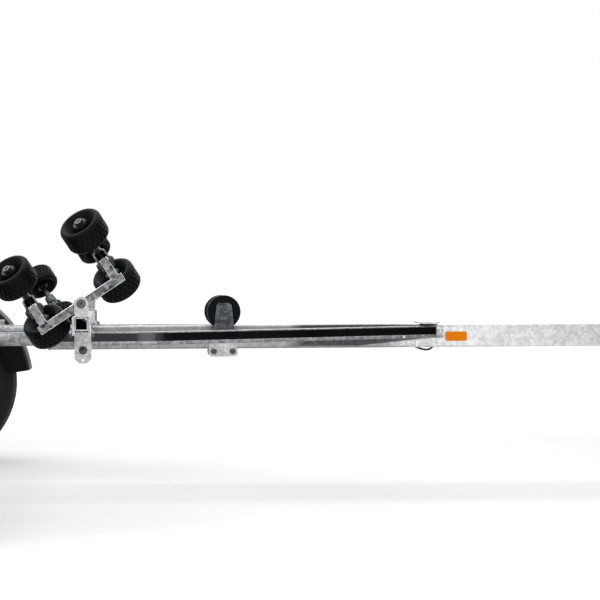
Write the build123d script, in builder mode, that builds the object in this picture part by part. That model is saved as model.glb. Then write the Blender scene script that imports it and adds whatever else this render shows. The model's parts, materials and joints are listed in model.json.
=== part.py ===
from build123d import *
import os
from math import atan2, cos, degrees, radians, sin, tan

os.makedirs("parts", exist_ok=True)

# A single-axle boat trailer. It stands on the floor at Z 0, its nose along +X and its left side along +Y.
# The origin is on the floor, under the middle of the overall length and width. Sizes are in mm.
# A place called ..._ahead is measured forward from the axle, and one called ..._behind rearward.
sides = ((1, "left"), (-1, "right"))
axle_to_nose = 3610
half_track = 950  # from the middle out to the middle of a road wheel
overall_length = 6060
nose_x = overall_length / 2
axle_x = nose_x - axle_to_nose
overrun = 20  # how far a cut runs past what it cuts
shaft_gap = 0.05  # radial clearance of a shaft in its bore
play = 1.0  # end play beside a wheel, roller or collar


def export_piece(piece, name):
    """Name a finished piece and write its file."""
    piece.label = name
    export_step(piece, f"parts/{name}.step")


# Drawbar: a square tube down the middle
drawbar_size = 80
drawbar_wall = 4
drawbar_corner = 8
drawbar_top = 568
drawbar_tail_ahead = 500
drawbar_front_ahead = 3190
tail_plate_width = 150
tail_plate_wall = 5
drawbar_half = drawbar_size / 2
drawbar_z = drawbar_top - drawbar_half
drawbar_bottom = drawbar_top - drawbar_size

# Lighting cable: it leaves the drawbar's underside, hangs in a short loop and goes back in
cable_radius = 3.5
cable_slot_gap = 0.3
cable_y = -22
cable_bend_share = 0.45
cable_route = (
    # places ahead of the axle, and depths below the drawbar's underside
    (1706, -15.0),
    (1727, -9.5),
    (1748, -1.0),
    (1769, 7.0),
    (1790, 9.5),
    (1805, 1.5),
    (1815, -12.0),
)

# Side rails: parallel beside the axle, then bent in to the drawbar
rail_width = 50
rail_height = 40
rail_wall = 3
rail_top = 561
rail_to_wheel = 375
rail_rear_behind = 2300
rail_bend_ahead = 831
rail_meet_ahead = 1833
rail_bend_radius = 260
rail_y = half_track - rail_to_wheel
rail_bottom = rail_top - rail_height
rail_z = rail_top - rail_height / 2
rail_outer_y = rail_y + rail_width / 2
rail_inner_y = rail_y - rail_width / 2
rail_angle = degrees(atan2(rail_outer_y - drawbar_half, rail_meet_ahead - rail_bend_ahead))

# Cross members between the rails
cross_width = 50
cross_members = (
    # how far ahead of the axle the middle lies
    drawbar_tail_ahead - tail_plate_wall - cross_width / 2,
    -1020,
    -rail_rear_behind + cross_width / 2,
)

# Junction plate over the drawbar, where the rails meet it
junction_ahead = 1790
junction_length = 60
junction_width = 150
junction_wall = 8

# Road wheels, on a rubber-sprung axle with trailing arms
tyre_radius = 325
tyre_width = 185
tread_wall = 16
bead_radius = 178
bead_width = 126
rim_lip_radius = 190
rim_width = 140
rim_wall = 3.5
rim_well_radius = 158
rim_hole_radius = 9
rim_hole_count = 12
rim_hole_circle_radius = 127
disc_seat_radius = 78
disc_crown_radius = 108
disc_crown_rise = 14
disc_offset = 30
disc_wall = 5
hub_flange_radius = 70
hub_flange_wall = 9
hub_radius = 36
cap_radius = 31
cap_length = 26
drum_radius = 118
drum_length = 62
drum_inboard = 94
stub_radius = 17.5
stub_end = 22
backplate_radius = 120
backplate_wall = 5
backplate_gap = 4
axle_height = tyre_radius

# Axle beam and its brackets up to the rails
beam_axle_size = 80
beam_axle_corner = 14
axle_tube_ahead = 132
axle_tube_z = 404
tube_to_wheel = 178
axle_tube_half_length = half_track - tube_to_wheel
axle_bracket_wall = 6
axle_bracket_top = 170
axle_bracket_foot = 96
arm_gap = 8
arm_thickness = 36
arm_root_radius = 40
arm_tip_radius = 30

# Mudguards: a moulded channel over each wheel
guard_gap = 61
guard_skirt_cover = 27
guard_radius = tyre_radius + guard_gap
guard_skirt_radius = tyre_radius - guard_skirt_cover
guard_width = 230
guard_wall = 4
guard_corner = 34
guard_front_angle = 7.5
stay_ahead = 250
stay_size = 30
stay_wall = 3
stay_plate = 70
stay_plate_wall = 4

# Cradle beams across the rails, with a pair of rocking roller cradles on each
cradle_beam_size = 40
cradle_beam_wall = 4
cradle_beam_corner = 5
cradle_overhang = 225
cradle_y = rail_y + cradle_overhang
cradle_sets = ((623, "front"), (-1900, "rear"))
hanger_wall = 10
hanger_side_wall = 8
hanger_length = 52
hanger_drop = 95
hanger_inner_drop = 58
hanger_corner = 14
hanger_bolt_radius = 6
hanger_hole_radius = 3.3
hanger_hole_pitch = 20
hanger_hole_rise = 10
beam_bottom = rail_top + hanger_wall
beam_z = beam_bottom + cradle_beam_size / 2
beam_top = beam_bottom + cradle_beam_size

# Rockers: a square tube with a stub standing near each end
pivot_rise = 39
pivot_z = beam_top + pivot_rise
rocker_lean = 33
rocker_size = 25
rocker_wall = 2.5
rocker_length = 294
rocker_bush_radius = 9
stub_reach = 125
stub_top = 76
tilt_bolt_rise = 60
pivot_pin_radius = 6
tilt_bolt_radius = 5

# Carriers: a folded saddle over the beam's end, with two cheeks for the rocker's pivot
cheek_wall = 6
cheek_gap = 2
cheek_width = 43
saddle_wall = 8
saddle_drop = 13
rocker_stop_gap = 5
carrier_bolt_radius = 5

# Roller pairs: two rubber rollers on an axle, in a strap that tilts on the stub
pair_lean = 57
strap_wall = 5
strap_gap = 2.5
strap_width = 30
strap_tail = 14
pair_axle_rise = 48
pair_axle_radius = 11
roller_radius = 66
roller_width = 72
roller_spacing = 205
roller_edge = 10
roller_face_radius = 51
roller_cone_radius = 30
roller_cone_depth = 24
roller_boss_radius = 21
roller_boss_inset = 5
weld = 0.6
nut_radius = 9
nut_length = 7
axle_nut_radius = 12
axle_nut_length = 9

# Keel rollers: one on the drawbar, one at the tail
keel_roller_radius = 56
keel_roller_waist = 37
keel_roller_width = 190
keel_waist_width = 96
keel_flare = 18
keel_pin_radius = 8
keel_front_ahead = 1089
keel_front_z = 614
keel_rear_ahead = -rail_rear_behind + cross_width / 2
keel_cheek_wall = 6
keel_cheek_top = 49
keel_cheek_foot = 69
keel_cheek_rise = 30
keel_shelf_length = 98
keel_shelf_gap = 6
keel_plate_corner = 12
keel_plate_drop = 27
keel_bolt_reach = 32
keel_bolt_radius = 5
keel_foot_wall = 6

# Winch post, winch and bow stop
post_ahead = 2800
post_length = 60
post_width = drawbar_size
post_wall = 4
post_corner = 8
post_top = 1045
post_plate_length = 140
post_plate_rise = 90
post_plate_drop = 27
post_plate_wall = 6
stop_arm_size = 40
stop_arm_length = 90
stop_arm_drop = 45
stop_block_width = 100
stop_block_height = 90
stop_block_length = 70
stop_notch_depth = 34
stop_notch_width = 84
winch_z = 850
winch_back_wall = 6
winch_side_wall = 4
winch_half_width = 46
winch_length = 118
winch_height = 128
winch_nose = 26
drum_ahead_of_back = 66
winch_core_radius = 22
winch_flange_radius = 48
winch_flange_wall = 3
winch_shaft_radius = 8
winch_side_gap = 5
strap_coil_radius = 40
crank_shaft_radius = 7
crank_shaft_back = 30
crank_shaft_rise = 50
crank_gap = 12
crank_wall = 8
crank_width = 24
crank_length = 190
crank_lean = 62
grip_radius = 16
grip_length = 105

# Overrun coupling
housing_overlap = 120
housing_nose_length = 110
housing_back_ahead = drawbar_front_ahead - housing_overlap
housing_front_ahead = drawbar_front_ahead + housing_nose_length
housing_wall = 6
housing_size = 96
housing_nose_radius = 38
housing_drop = 12
drawshaft_radius = 22
gaiter_radius = 43
gaiter_valley_radius = 34
gaiter_folds = 6
gaiter_length = 116
head_height = 46
head_width = 54
ball_ahead = 3570
socket_radius = 25.3
socket_depth = 18
cup_radius = axle_to_nose - ball_ahead
cup_bottom = 492
cup_wall = 13
head_corner = 8
lever_width = 34
lever_length = 150
lever_wall = 14
lever_rise = 26
brake_lever_ahead = 3165
brake_lever_length = 300
brake_lever_width = 28
brake_lever_wall = 8
brake_lever_lean = 62
brake_grip_radius = 15
brake_grip_length = 110
brake_boss_radius = 20
brake_boss_length = 9

# Jockey wheel in its clamp, left of the drawbar
jockey_behind_housing = 85
jockey_ahead = housing_back_ahead - jockey_behind_housing
jockey_tube_radius = 24
jockey_leg_radius = 20
jockey_bottom = 232
jockey_top = 800
jockey_collar_radius = 33
jockey_collar_height = 62
jockey_plate_wall = 6
jockey_plate_length = 90
jockey_plate_height = 64
jockey_y = drawbar_half + jockey_plate_wall + jockey_collar_radius
jockey_wheel_radius = 100
jockey_wheel_width = 54
jockey_trail = 42
jockey_fork_wall = 5
jockey_fork_width = 44
jockey_fork_gap = 5
jockey_crown_z = 212
jockey_crown_wall = 8
jockey_axle_radius = 8
jockey_rim_radius = 68
jockey_hub_radius = 20
jockey_web = 14
jockey_tread = 34
jockey_leg_overlap = 55
jockey_cap_height = 14
jockey_crank_length = 105
jockey_crank_width = 22
jockey_crank_wall = 8
jockey_knob_radius = 13
jockey_knob_height = 80

# Lamps and reflectors
light_bar_height = 50
light_bar_depth = 25
light_bar_length = 1900
light_arm_size = 30
light_arm_wall = 3
light_arm_overlap = 150
lamp_width = 230
lamp_height = 110
lamp_depth = 34
lamp_corner = 16
lens_depth = 18
lens_inset = 5
lamp_inset = 125
lamp_y = light_bar_length / 2 - lamp_inset
light_bar_z = rail_bottom - light_arm_size / 2
light_arm_inner = light_arm_size - 2 * light_arm_wall
reflector_length = 69
reflector_height = 31.5
reflector_wall = 8
reflector_corner = 4
reflector_front_ahead = 1883
reflector_front_z = 525
reflector_rear_ahead = -1420


def tube_outline(width, height, wall, corner):
    """Section of a square or rectangular tube, for the sketch that is open."""
    RectangleRounded(width, height, corner)
    Rectangle(width - 2 * wall, height - 2 * wall, mode=Mode.SUBTRACT)


def corner_radii(points, share):
    """The largest arc that each inner corner of a route has room for."""
    radii = []
    for before, here, after in zip(points, points[1:], points[2:]):
        run_in = Vector(here) - Vector(before)
        run_out = Vector(after) - Vector(here)
        turn = radians(run_in.get_angle(run_out))
        radii.append(share * min(run_in.length, run_out.length) / tan(turn / 2))
    return radii


# Cable loop
cable_points = [(axle_x + ahead, cable_y, drawbar_bottom - depth) for ahead, depth in cable_route]
cable_radii = corner_radii(cable_points, cable_bend_share)
print("cable bend radii", [round(radius, 1) for radius in cable_radii])
with BuildLine() as cable_line:
    FilletPolyline(*cable_points, radius=cable_radii)
cable_start = Plane(origin=cable_line.line @ 0, z_dir=cable_line.line % 0)
with BuildPart() as cable_loop:
    with BuildLine():
        add(cable_line.line)
    with BuildSketch(cable_start):
        Circle(cable_radius)
    sweep()
with BuildPart() as cable_slot:
    with BuildLine():
        add(cable_line.line)
    with BuildSketch(cable_start):
        Circle(cable_radius + cable_slot_gap)
    sweep()
export_piece(cable_loop.part, "cable_loop")

# Drawbar with its tail plate, open for the cable where the loop leaves and enters
with BuildPart() as drawbar:
    with BuildSketch(Plane.YZ.offset(axle_x + drawbar_tail_ahead)):
        with Locations((0, drawbar_z)):
            tube_outline(drawbar_size, drawbar_size, drawbar_wall, drawbar_corner)
    extrude(amount=drawbar_front_ahead - drawbar_tail_ahead)
    with BuildSketch(Plane.YZ.offset(axle_x + drawbar_tail_ahead)):
        with Locations((0, drawbar_z)):
            Rectangle(tail_plate_width, drawbar_size)
    extrude(amount=-tail_plate_wall)
    add(cable_slot.part, mode=Mode.SUBTRACT)
export_piece(drawbar.part, "drawbar")

# Side rails, cut off flat against the drawbar's sides
with BuildPart() as side_rails:
    for side, _ in sides:
        meet_length = rail_y / tan(radians(rail_angle))
        with BuildLine():
            FilletPolyline(
                (axle_x - rail_rear_behind, side * rail_y, rail_z),
                (axle_x + rail_bend_ahead, side * rail_y, rail_z),
                (axle_x + rail_bend_ahead + meet_length, 0, rail_z),
                radius=rail_bend_radius,
            )
        with BuildSketch(Plane.YZ.offset(axle_x - rail_rear_behind)):
            with Locations((side * rail_y, rail_z)):
                Rectangle(rail_width, rail_height)
                Rectangle(rail_width - 2 * rail_wall, rail_height - 2 * rail_wall, mode=Mode.SUBTRACT)
        sweep()
    with BuildSketch(Plane.XY.offset(rail_bottom - overrun)):
        with Locations((axle_x + rail_meet_ahead, 0)):
            Rectangle(rail_meet_ahead, drawbar_size)
    extrude(amount=rail_height + 2 * overrun, mode=Mode.SUBTRACT)
export_piece(side_rails.part, "side_rails")

# Cross members between the rails
with BuildPart() as cross_tubes:
    for ahead in cross_members:
        with BuildSketch(Plane.XZ.offset(-rail_inner_y)):
            with Locations((axle_x + ahead, rail_z)):
                Rectangle(cross_width, rail_height)
                Rectangle(cross_width - 2 * rail_wall, rail_height - 2 * rail_wall, mode=Mode.SUBTRACT)
        extrude(amount=2 * rail_inner_y)
export_piece(cross_tubes.part, "cross_members")

# Junction plate
with BuildPart() as junction:
    with BuildSketch(Plane.XY.offset(drawbar_top)):
        with Locations((axle_x + junction_ahead, 0)):
            Rectangle(junction_length, junction_width)
    extrude(amount=junction_wall)
export_piece(junction.part, "junction_plate")

# Axle beam: one tube under the rails, a folded bracket up to each rail
with BuildPart() as axle_beam:
    with BuildSketch(Plane.XZ.offset(-axle_tube_half_length)):
        with Locations((axle_x + axle_tube_ahead, axle_tube_z)):
            RectangleRounded(beam_axle_size, beam_axle_size, beam_axle_corner)
    extrude(amount=2 * axle_tube_half_length)
    for side, _ in sides:
        for face in (rail_inner_y, rail_outer_y - axle_bracket_wall):
            with BuildSketch(Plane.XZ.offset(-side * face - (axle_bracket_wall if side > 0 else 0))):
                with BuildLine():
                    Polyline(
                        (axle_x + axle_tube_ahead - axle_bracket_foot / 2, axle_tube_z),
                        (axle_x + axle_tube_ahead + axle_bracket_foot / 2, axle_tube_z),
                        (axle_x + axle_tube_ahead + axle_bracket_top / 2, rail_bottom),
                        (axle_x + axle_tube_ahead - axle_bracket_top / 2, rail_bottom),
                        close=True,
                    )
                make_face()
            extrude(amount=axle_bracket_wall)
        with BuildSketch(Plane.XY.offset(rail_bottom - axle_bracket_wall)):
            with Locations((axle_x + axle_tube_ahead, side * rail_y)):
                Rectangle(axle_bracket_top, rail_width)
        extrude(amount=axle_bracket_wall)
export_piece(axle_beam.part, "axle_beam")

# Trailing arms: each with its stub axle and brake backplate, the carriers of the wheels
hub_face = half_track + disc_offset
arm_inner_y = axle_tube_half_length + arm_gap
backplate_y = half_track - drum_inboard - backplate_gap - backplate_wall
with BuildPart() as trailing_arms:
    for side, _ in sides:
        inner = Plane.XZ.offset(-side * arm_inner_y)
        with BuildSketch(inner):
            with Locations((axle_x + axle_tube_ahead, axle_tube_z)):
                Circle(arm_root_radius)
            with Locations((axle_x, axle_height)):
                Circle(arm_tip_radius)
            make_hull()
        extrude(amount=-side * arm_thickness)
        with BuildSketch(Plane.XZ.offset(-side * axle_tube_half_length)):
            with Locations((axle_x + axle_tube_ahead, axle_tube_z)):
                Circle(arm_tip_radius)
        extrude(amount=-side * arm_gap)
        with BuildSketch(Plane.XZ.offset(-side * arm_inner_y)):
            with Locations((axle_x, axle_height)):
                Circle(stub_radius)
        extrude(amount=-side * (hub_face + stub_end - arm_inner_y))
        with BuildSketch(Plane.XZ.offset(-side * (arm_inner_y + arm_thickness))):
            with Locations((axle_x, axle_height)):
                Circle(arm_tip_radius)
        extrude(amount=-side * (backplate_y - arm_inner_y - arm_thickness))
        with BuildSketch(Plane.XZ.offset(-side * backplate_y)):
            with Locations((axle_x, axle_height)):
                Circle(backplate_radius)
        extrude(amount=-side * backplate_wall)
export_piece(trailing_arms.part, "trailing_arms")


def turned_about_wheel(side, outline):
    """Revolve an outline of (radius, place outward of the wheel's middle) about the wheel's axle."""
    section = Plane(origin=(axle_x, side * half_track, axle_height), x_dir=(0, 0, 1), z_dir=(-side, 0, 0))
    with BuildSketch(section) as half_section:
        with BuildLine():
            Polyline(*outline, close=True)
        make_face()
    revolve(profiles=half_section.sketch, axis=Axis((axle_x, 0, axle_height), (0, 1, 0)))


# Rim: a pressed well with its disc, and the hub with its brake drum as a second solid
half_rim = rim_width / 2
half_bead = bead_width / 2
rim_shares = (
    # rise from the well to the bead seat, place along half the bead width
    (1.0, -1.0),
    (1.0, -0.62),
    (0.0, -0.42),
    (0.0, 0.12),
    (1.0, 0.32),
    (1.0, 1.0),
)
seat_rise = bead_radius - rim_well_radius
well_line = [(rim_well_radius + rise * seat_rise, place * half_bead) for rise, place in rim_shares]
rim_outline = (
    [(rim_lip_radius, -half_rim), (rim_lip_radius, -half_bead)]
    + well_line
    + [(rim_lip_radius, half_bead), (rim_lip_radius, half_rim)]
    + [(bead_radius - rim_wall, half_rim)]
    + [(radius - rim_wall, place) for radius, place in reversed(well_line)]
    + [(bead_radius - rim_wall, -half_rim)]
)
disc_root = rim_well_radius - rim_wall + weld
disc_face = (
    (disc_root, 0),
    (disc_crown_radius, disc_offset + disc_crown_rise),
    (disc_seat_radius, disc_offset),
    (cap_radius + play, disc_offset),
)
disc_outline = list(disc_face) + [(radius, place + disc_wall) for radius, place in reversed(disc_face)]
hub_bore = stub_radius + shaft_gap
hub_outline = (
    (hub_bore, -drum_inboard),
    (drum_radius, -drum_inboard),
    (drum_radius, drum_length - drum_inboard),
    (hub_radius, drum_length - drum_inboard),
    (hub_radius, disc_offset - hub_flange_wall),
    (hub_flange_radius, disc_offset - hub_flange_wall),
    (hub_flange_radius, disc_offset),
    (cap_radius, disc_offset),
    (cap_radius, disc_offset + cap_length),
    (0, disc_offset + cap_length),
    (0, disc_offset + stub_end + play),
    (hub_bore, disc_offset + stub_end + play),
)
for side, side_name in sides:
    with BuildPart() as rim:
        turned_about_wheel(side, rim_outline)
        turned_about_wheel(side, disc_outline)
        hole_plane = Plane(
            origin=(axle_x, side * half_track, axle_height), x_dir=(1, 0, 0), z_dir=(0, side, 0)
        )
        with BuildSketch(hole_plane):
            with PolarLocations(rim_hole_circle_radius, rim_hole_count):
                Circle(rim_hole_radius)
        extrude(amount=half_rim, mode=Mode.SUBTRACT)
    with BuildPart() as hub:
        turned_about_wheel(side, hub_outline)
    export_piece(Compound(children=[*rim.solids(), *hub.solids()]), f"rim_and_hub_{side_name}")

# Tyre: a hollow casing with its beads on the rim's seats
tyre_outer_shares = (
    # rise from bead to tread, half width
    (0.09, 0.678),
    (0.51, 1.0),
    (0.85, 0.89),
    (0.943, 0.835),
    (0.976, 0.72),
)
tyre_inner_shares = (
    (0.09, 0.56),
    (0.50, 0.88),
    (0.80, 0.77),
    (0.865, 0.72),
    (0.885, 0.60),
)
tyre_toe_share = 0.52
bead_gap = 0.3


def tyre_points(shares):
    """Places on the tyre's section, as (radius, place outward of its middle)."""
    rise = tyre_radius - bead_radius
    return [(bead_radius + up * rise, out * tyre_width / 2) for up, out in shares]


def mirrored(point):
    """The same place on the tyre's other sidewall."""
    return (point[0], -point[1])


for side, side_name in sides:
    lip, bulge, upper, shoulder, edge = tyre_points(tyre_outer_shares)
    inner_lip, inner_bulge, inner_upper, inner_shoulder, inner_edge = tyre_points(tyre_inner_shares)
    lip = (lip[0], half_bead - bead_gap)
    heel = (bead_radius + bead_gap, half_bead - bead_gap)
    toe = (bead_radius + bead_gap, tyre_toe_share * tyre_width / 2)
    crown = (tyre_radius, 0)
    inner_crown = (tyre_radius - tread_wall, 0)
    section = Plane(origin=(axle_x, side * half_track, axle_height), x_dir=(0, 0, 1), z_dir=(-side, 0, 0))
    with BuildPart() as tyre:
        with BuildSketch(section):
            with BuildLine():
                Polyline(inner_lip, toe, heel, lip)
                ThreePointArc(lip, bulge, upper)
                ThreePointArc(upper, shoulder, edge)
                ThreePointArc(edge, crown, mirrored(edge))
                ThreePointArc(mirrored(edge), mirrored(shoulder), mirrored(upper))
                ThreePointArc(mirrored(upper), mirrored(bulge), mirrored(lip))
                Polyline(mirrored(lip), mirrored(heel), mirrored(toe), mirrored(inner_lip))
                ThreePointArc(mirrored(inner_lip), mirrored(inner_bulge), mirrored(inner_upper))
                ThreePointArc(mirrored(inner_upper), mirrored(inner_shoulder), mirrored(inner_edge))
                ThreePointArc(mirrored(inner_edge), inner_crown, inner_edge)
                ThreePointArc(inner_edge, inner_shoulder, inner_upper)
                ThreePointArc(inner_upper, inner_bulge, inner_lip)
            make_face()
        revolve(axis=Axis((axle_x, 0, axle_height), (0, 1, 0)))
    export_piece(tyre.part, f"tyre_{side_name}")

# Mudguards: a rounded channel turned over each wheel
guard_half_arc = 90 - guard_front_angle
with BuildPart() as mudguards:
    for side, _ in sides:
        for way in (1, -1):
            inner_edge_y = side * half_track - guard_width / 2
            outer_edge_y = side * half_track + guard_width / 2
            skirt_z = axle_height + guard_skirt_radius
            crown_z = axle_height + guard_radius
            with BuildSketch(Plane.YZ.offset(axle_x)):
                with BuildLine():
                    outside = FilletPolyline(
                        (inner_edge_y, skirt_z),
                        (inner_edge_y, crown_z),
                        (outer_edge_y, crown_z),
                        (outer_edge_y, skirt_z),
                        radius=guard_corner,
                    )
                    inside = FilletPolyline(
                        (inner_edge_y + guard_wall, skirt_z),
                        (inner_edge_y + guard_wall, crown_z - guard_wall),
                        (outer_edge_y - guard_wall, crown_z - guard_wall),
                        (outer_edge_y - guard_wall, skirt_z),
                        radius=guard_corner - guard_wall,
                    )
                    Line(outside @ 0, inside @ 0)
                    Line(outside @ 1, inside @ 1)
                make_face()
            revolve(axis=Axis((axle_x, 0, axle_height), (0, way, 0)), revolution_arc=guard_half_arc)
export_piece(mudguards.part, "mudguards")

# Mudguard stays: a short tube from the rail to the inner skirt, with a plate at each end
guard_inner_y = half_track - guard_width / 2
with BuildPart() as guard_stays:
    for side, _ in sides:
        for ahead in (stay_ahead, -stay_ahead):
            place = (axle_x + ahead, rail_z)
            with BuildSketch(Plane.XZ.offset(-side * rail_outer_y)):
                with Locations(place):
                    Rectangle(stay_plate, rail_height)
            extrude(amount=-side * stay_plate_wall)
            with BuildSketch(Plane.XZ.offset(-side * rail_outer_y)):
                with Locations(place):
                    Rectangle(stay_size, stay_size)
                    Rectangle(stay_size - 2 * stay_wall, stay_size - 2 * stay_wall, mode=Mode.SUBTRACT)
            extrude(amount=-side * (guard_inner_y - rail_outer_y))
            with BuildSketch(Plane.XZ.offset(-side * (guard_inner_y - stay_plate_wall))):
                with Locations(place):
                    Rectangle(stay_plate, stay_plate)
            extrude(amount=-side * stay_plate_wall)
export_piece(guard_stays.part, "mudguard_stays")

# Cradle beams: square tubes across both rails, with open ends
cheek_outer = rocker_size / 2 + cheek_gap + cheek_wall
beam_half_length = cradle_y + cheek_outer + hanger_side_wall / 2
with BuildPart() as cradle_beams:
    for ahead, _ in cradle_sets:
        with BuildSketch(Plane.XZ.offset(-beam_half_length)):
            with Locations((axle_x + ahead, beam_z)):
                tube_outline(cradle_beam_size, cradle_beam_size, cradle_beam_wall, cradle_beam_corner)
        extrude(amount=2 * beam_half_length)
export_piece(cradle_beams.part, "cradle_beams")

# Beam hangers: folded over each rail under the beam, the outer leg longer, with a spare pair of holes
hanger_width = rail_width + 2 * hanger_side_wall
with BuildPart() as beam_hangers:
    for ahead, _ in cradle_sets:
        for side, _ in sides:
            x = axle_x + ahead
            with BuildSketch(Plane.XY.offset(rail_top)):
                with Locations((x, side * rail_y)):
                    Rectangle(hanger_length, hanger_width)
            extrude(amount=hanger_wall)
            with BuildSketch(Plane.XZ.offset(-side * rail_outer_y)):
                with Locations((x, rail_top - hanger_drop / 2 + hanger_wall / 2)):
                    Rectangle(hanger_length, hanger_drop + hanger_wall)
                    chamfer(vertices().group_by(Axis.Y)[0], hanger_corner)
                with Locations((x, rail_top - hanger_drop + hanger_hole_rise)):
                    Circle(hanger_hole_radius, mode=Mode.SUBTRACT)
                with Locations((x, rail_top - hanger_drop + hanger_hole_rise + hanger_hole_pitch)):
                    Circle(hanger_hole_radius, mode=Mode.SUBTRACT)
            extrude(amount=-side * hanger_side_wall)
            with BuildSketch(Plane.XZ.offset(-side * rail_inner_y)):
                with Locations((x, rail_top - hanger_inner_drop / 2 + hanger_wall / 2)):
                    Rectangle(hanger_length, hanger_inner_drop + hanger_wall)
            extrude(amount=side * hanger_side_wall)
            with BuildSketch(Plane.XZ.offset(-side * (rail_inner_y - hanger_side_wall))):
                with Locations((x, rail_bottom - hanger_bolt_radius - play)):
                    Circle(hanger_bolt_radius)
            extrude(amount=-side * (rail_width + 2 * hanger_side_wall))
export_piece(beam_hangers.part, "beam_hangers")

# Carrier, drawn about the rocker's pivot: saddle over the beam, two cheeks, pivot pin and beam bolt
lean = radians(rocker_lean)
stop_face = rocker_size / 2 + rocker_stop_gap
saddle_half = cradle_beam_size / 2 + saddle_wall + shaft_gap
saddle_top = pivot_rise - saddle_wall
saddle_flat = (saddle_top - stop_face / cos(lean)) / tan(lean)
saddle_edge = stop_face / cos(lean) + saddle_half * tan(lean)
saddle_foot = pivot_rise + cradle_beam_size + saddle_drop
bolt_depth = pivot_rise + cradle_beam_size + carrier_bolt_radius + play
with BuildPart() as carrier:
    with BuildSketch(Plane.XZ.offset(-cheek_outer)):
        with BuildLine():
            Polyline(
                (-saddle_half, -saddle_foot),
                (-saddle_half, -saddle_edge),
                (-saddle_flat, -saddle_top),
                (saddle_flat, -saddle_top),
                (saddle_half, -saddle_edge),
                (saddle_half, -saddle_foot),
                close=True,
            )
        make_face()
        with Locations((0, -pivot_rise - cradle_beam_size)):
            Rectangle(cradle_beam_size + 2 * shaft_gap, 2 * cradle_beam_size, mode=Mode.SUBTRACT)
    extrude(amount=2 * cheek_outer)
    for way in (1, -1):
        with BuildSketch(Plane.XZ.offset(-way * (cheek_outer - cheek_wall))):
            Circle(cheek_width / 2)
            with Locations((0, -saddle_top / 2)):
                Rectangle(cheek_width, saddle_top)
            with Locations((0, -pivot_rise - cradle_beam_size)):
                Rectangle(cradle_beam_size + 2 * shaft_gap, 2 * cradle_beam_size, mode=Mode.SUBTRACT)
        extrude(amount=-way * cheek_wall)
    with BuildSketch(Plane.XZ.offset(-cheek_outer - nut_length)):
        Circle(pivot_pin_radius)
    extrude(amount=2 * cheek_outer + 2 * nut_length)
    for way in (1, -1):
        with BuildSketch(Plane.XZ.offset(-way * cheek_outer)):
            Circle(nut_radius)
        extrude(amount=-way * nut_length)
    with BuildSketch(Plane.YZ.offset(-saddle_half - nut_length)):
        with Locations((0, -bolt_depth)):
            Circle(carrier_bolt_radius)
    extrude(amount=2 * saddle_half + 2 * nut_length)
carriers = [
    carrier.part.moved(Location((axle_x + ahead, side * cradle_y, pivot_z)))
    for ahead, _ in cradle_sets
    for side, _ in sides
]
export_piece(Compound(children=[solid for piece in carriers for solid in piece.solids()]), "cradle_carriers")

# Rocker, drawn about its pivot with its arm along X: tube, bush, two stubs and their tilt bolts
strap_half = rocker_size / 2 + strap_gap + strap_wall
with BuildPart() as rocker:
    with BuildSketch(Plane.YZ.offset(-rocker_length / 2)):
        Rectangle(rocker_size, rocker_size)
        Rectangle(rocker_size - 2 * rocker_wall, rocker_size - 2 * rocker_wall, mode=Mode.SUBTRACT)
    extrude(amount=rocker_length)
    for way in (1, -1):
        with BuildSketch(Plane.XY.offset(rocker_size / 2)):
            with Locations((way * stub_reach, 0)):
                Rectangle(rocker_size, rocker_size)
                Rectangle(rocker_size - 2 * rocker_wall, rocker_size - 2 * rocker_wall, mode=Mode.SUBTRACT)
        extrude(amount=stub_top - rocker_size / 2)
        with BuildSketch(Plane.YZ.offset(way * stub_reach - strap_half - nut_length)):
            with Locations((0, tilt_bolt_rise)):
                Circle(tilt_bolt_radius)
        extrude(amount=2 * (strap_half + nut_length))
        for face in (-strap_half - nut_length, strap_half + play):
            with BuildSketch(Plane.YZ.offset(way * stub_reach + face)):
                with Locations((0, tilt_bolt_rise)):
                    Circle(nut_radius)
            extrude(amount=nut_length - play)
    with BuildSketch(Plane.XZ.offset(-rocker_size / 2)):
        Circle(rocker_bush_radius)
    extrude(amount=rocker_size)
    with BuildSketch(Plane.XZ.offset(-rocker_size / 2 - overrun)):
        Circle(pivot_pin_radius + shaft_gap)
    extrude(amount=rocker_size + 2 * overrun, mode=Mode.SUBTRACT)

# Strap, drawn about its tilt bolt with the roller axle along Y: a folded strip round the axle
strap_inner = strap_half - strap_wall
strap_arch = pair_axle_rise + pair_axle_radius - weld - strap_inner
axle_half = roller_spacing / 2 + roller_width / 2
with BuildPart() as strap:
    with BuildSketch(Plane.XZ.offset(-strap_width / 2)):
        with Locations((0, strap_arch)):
            Circle(strap_half)
        with Locations((0, (strap_arch - strap_tail) / 2)):
            Rectangle(2 * strap_half, strap_arch + strap_tail)
        with Locations((0, strap_arch)):
            Circle(strap_inner, mode=Mode.SUBTRACT)
        with Locations((0, (strap_arch - strap_tail) / 2 - overrun)):
            Rectangle(2 * strap_inner, strap_arch + strap_tail + 2 * overrun, mode=Mode.SUBTRACT)
    extrude(amount=strap_width)
    with BuildSketch(Plane.XZ.offset(-axle_half)):
        with Locations((0, pair_axle_rise)):
            Circle(pair_axle_radius)
    extrude(amount=2 * axle_half)
    for way in (1, -1):
        outer_nut = roller_spacing / 2 + roller_width / 2 - roller_boss_inset + play
        inner_nut = roller_spacing / 2 - roller_width / 2 + roller_boss_inset - play
        for face in (outer_nut, inner_nut - axle_nut_length):
            with BuildSketch(Plane.XZ.offset(-way * face)):
                with Locations((0, pair_axle_rise)):
                    Circle(axle_nut_radius)
            extrude(amount=-way * axle_nut_length)
    with BuildSketch(Plane.YZ.offset(-strap_half - overrun)):
        Circle(tilt_bolt_radius + shaft_gap)
    extrude(amount=2 * strap_half + 2 * overrun, mode=Mode.SUBTRACT)

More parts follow.
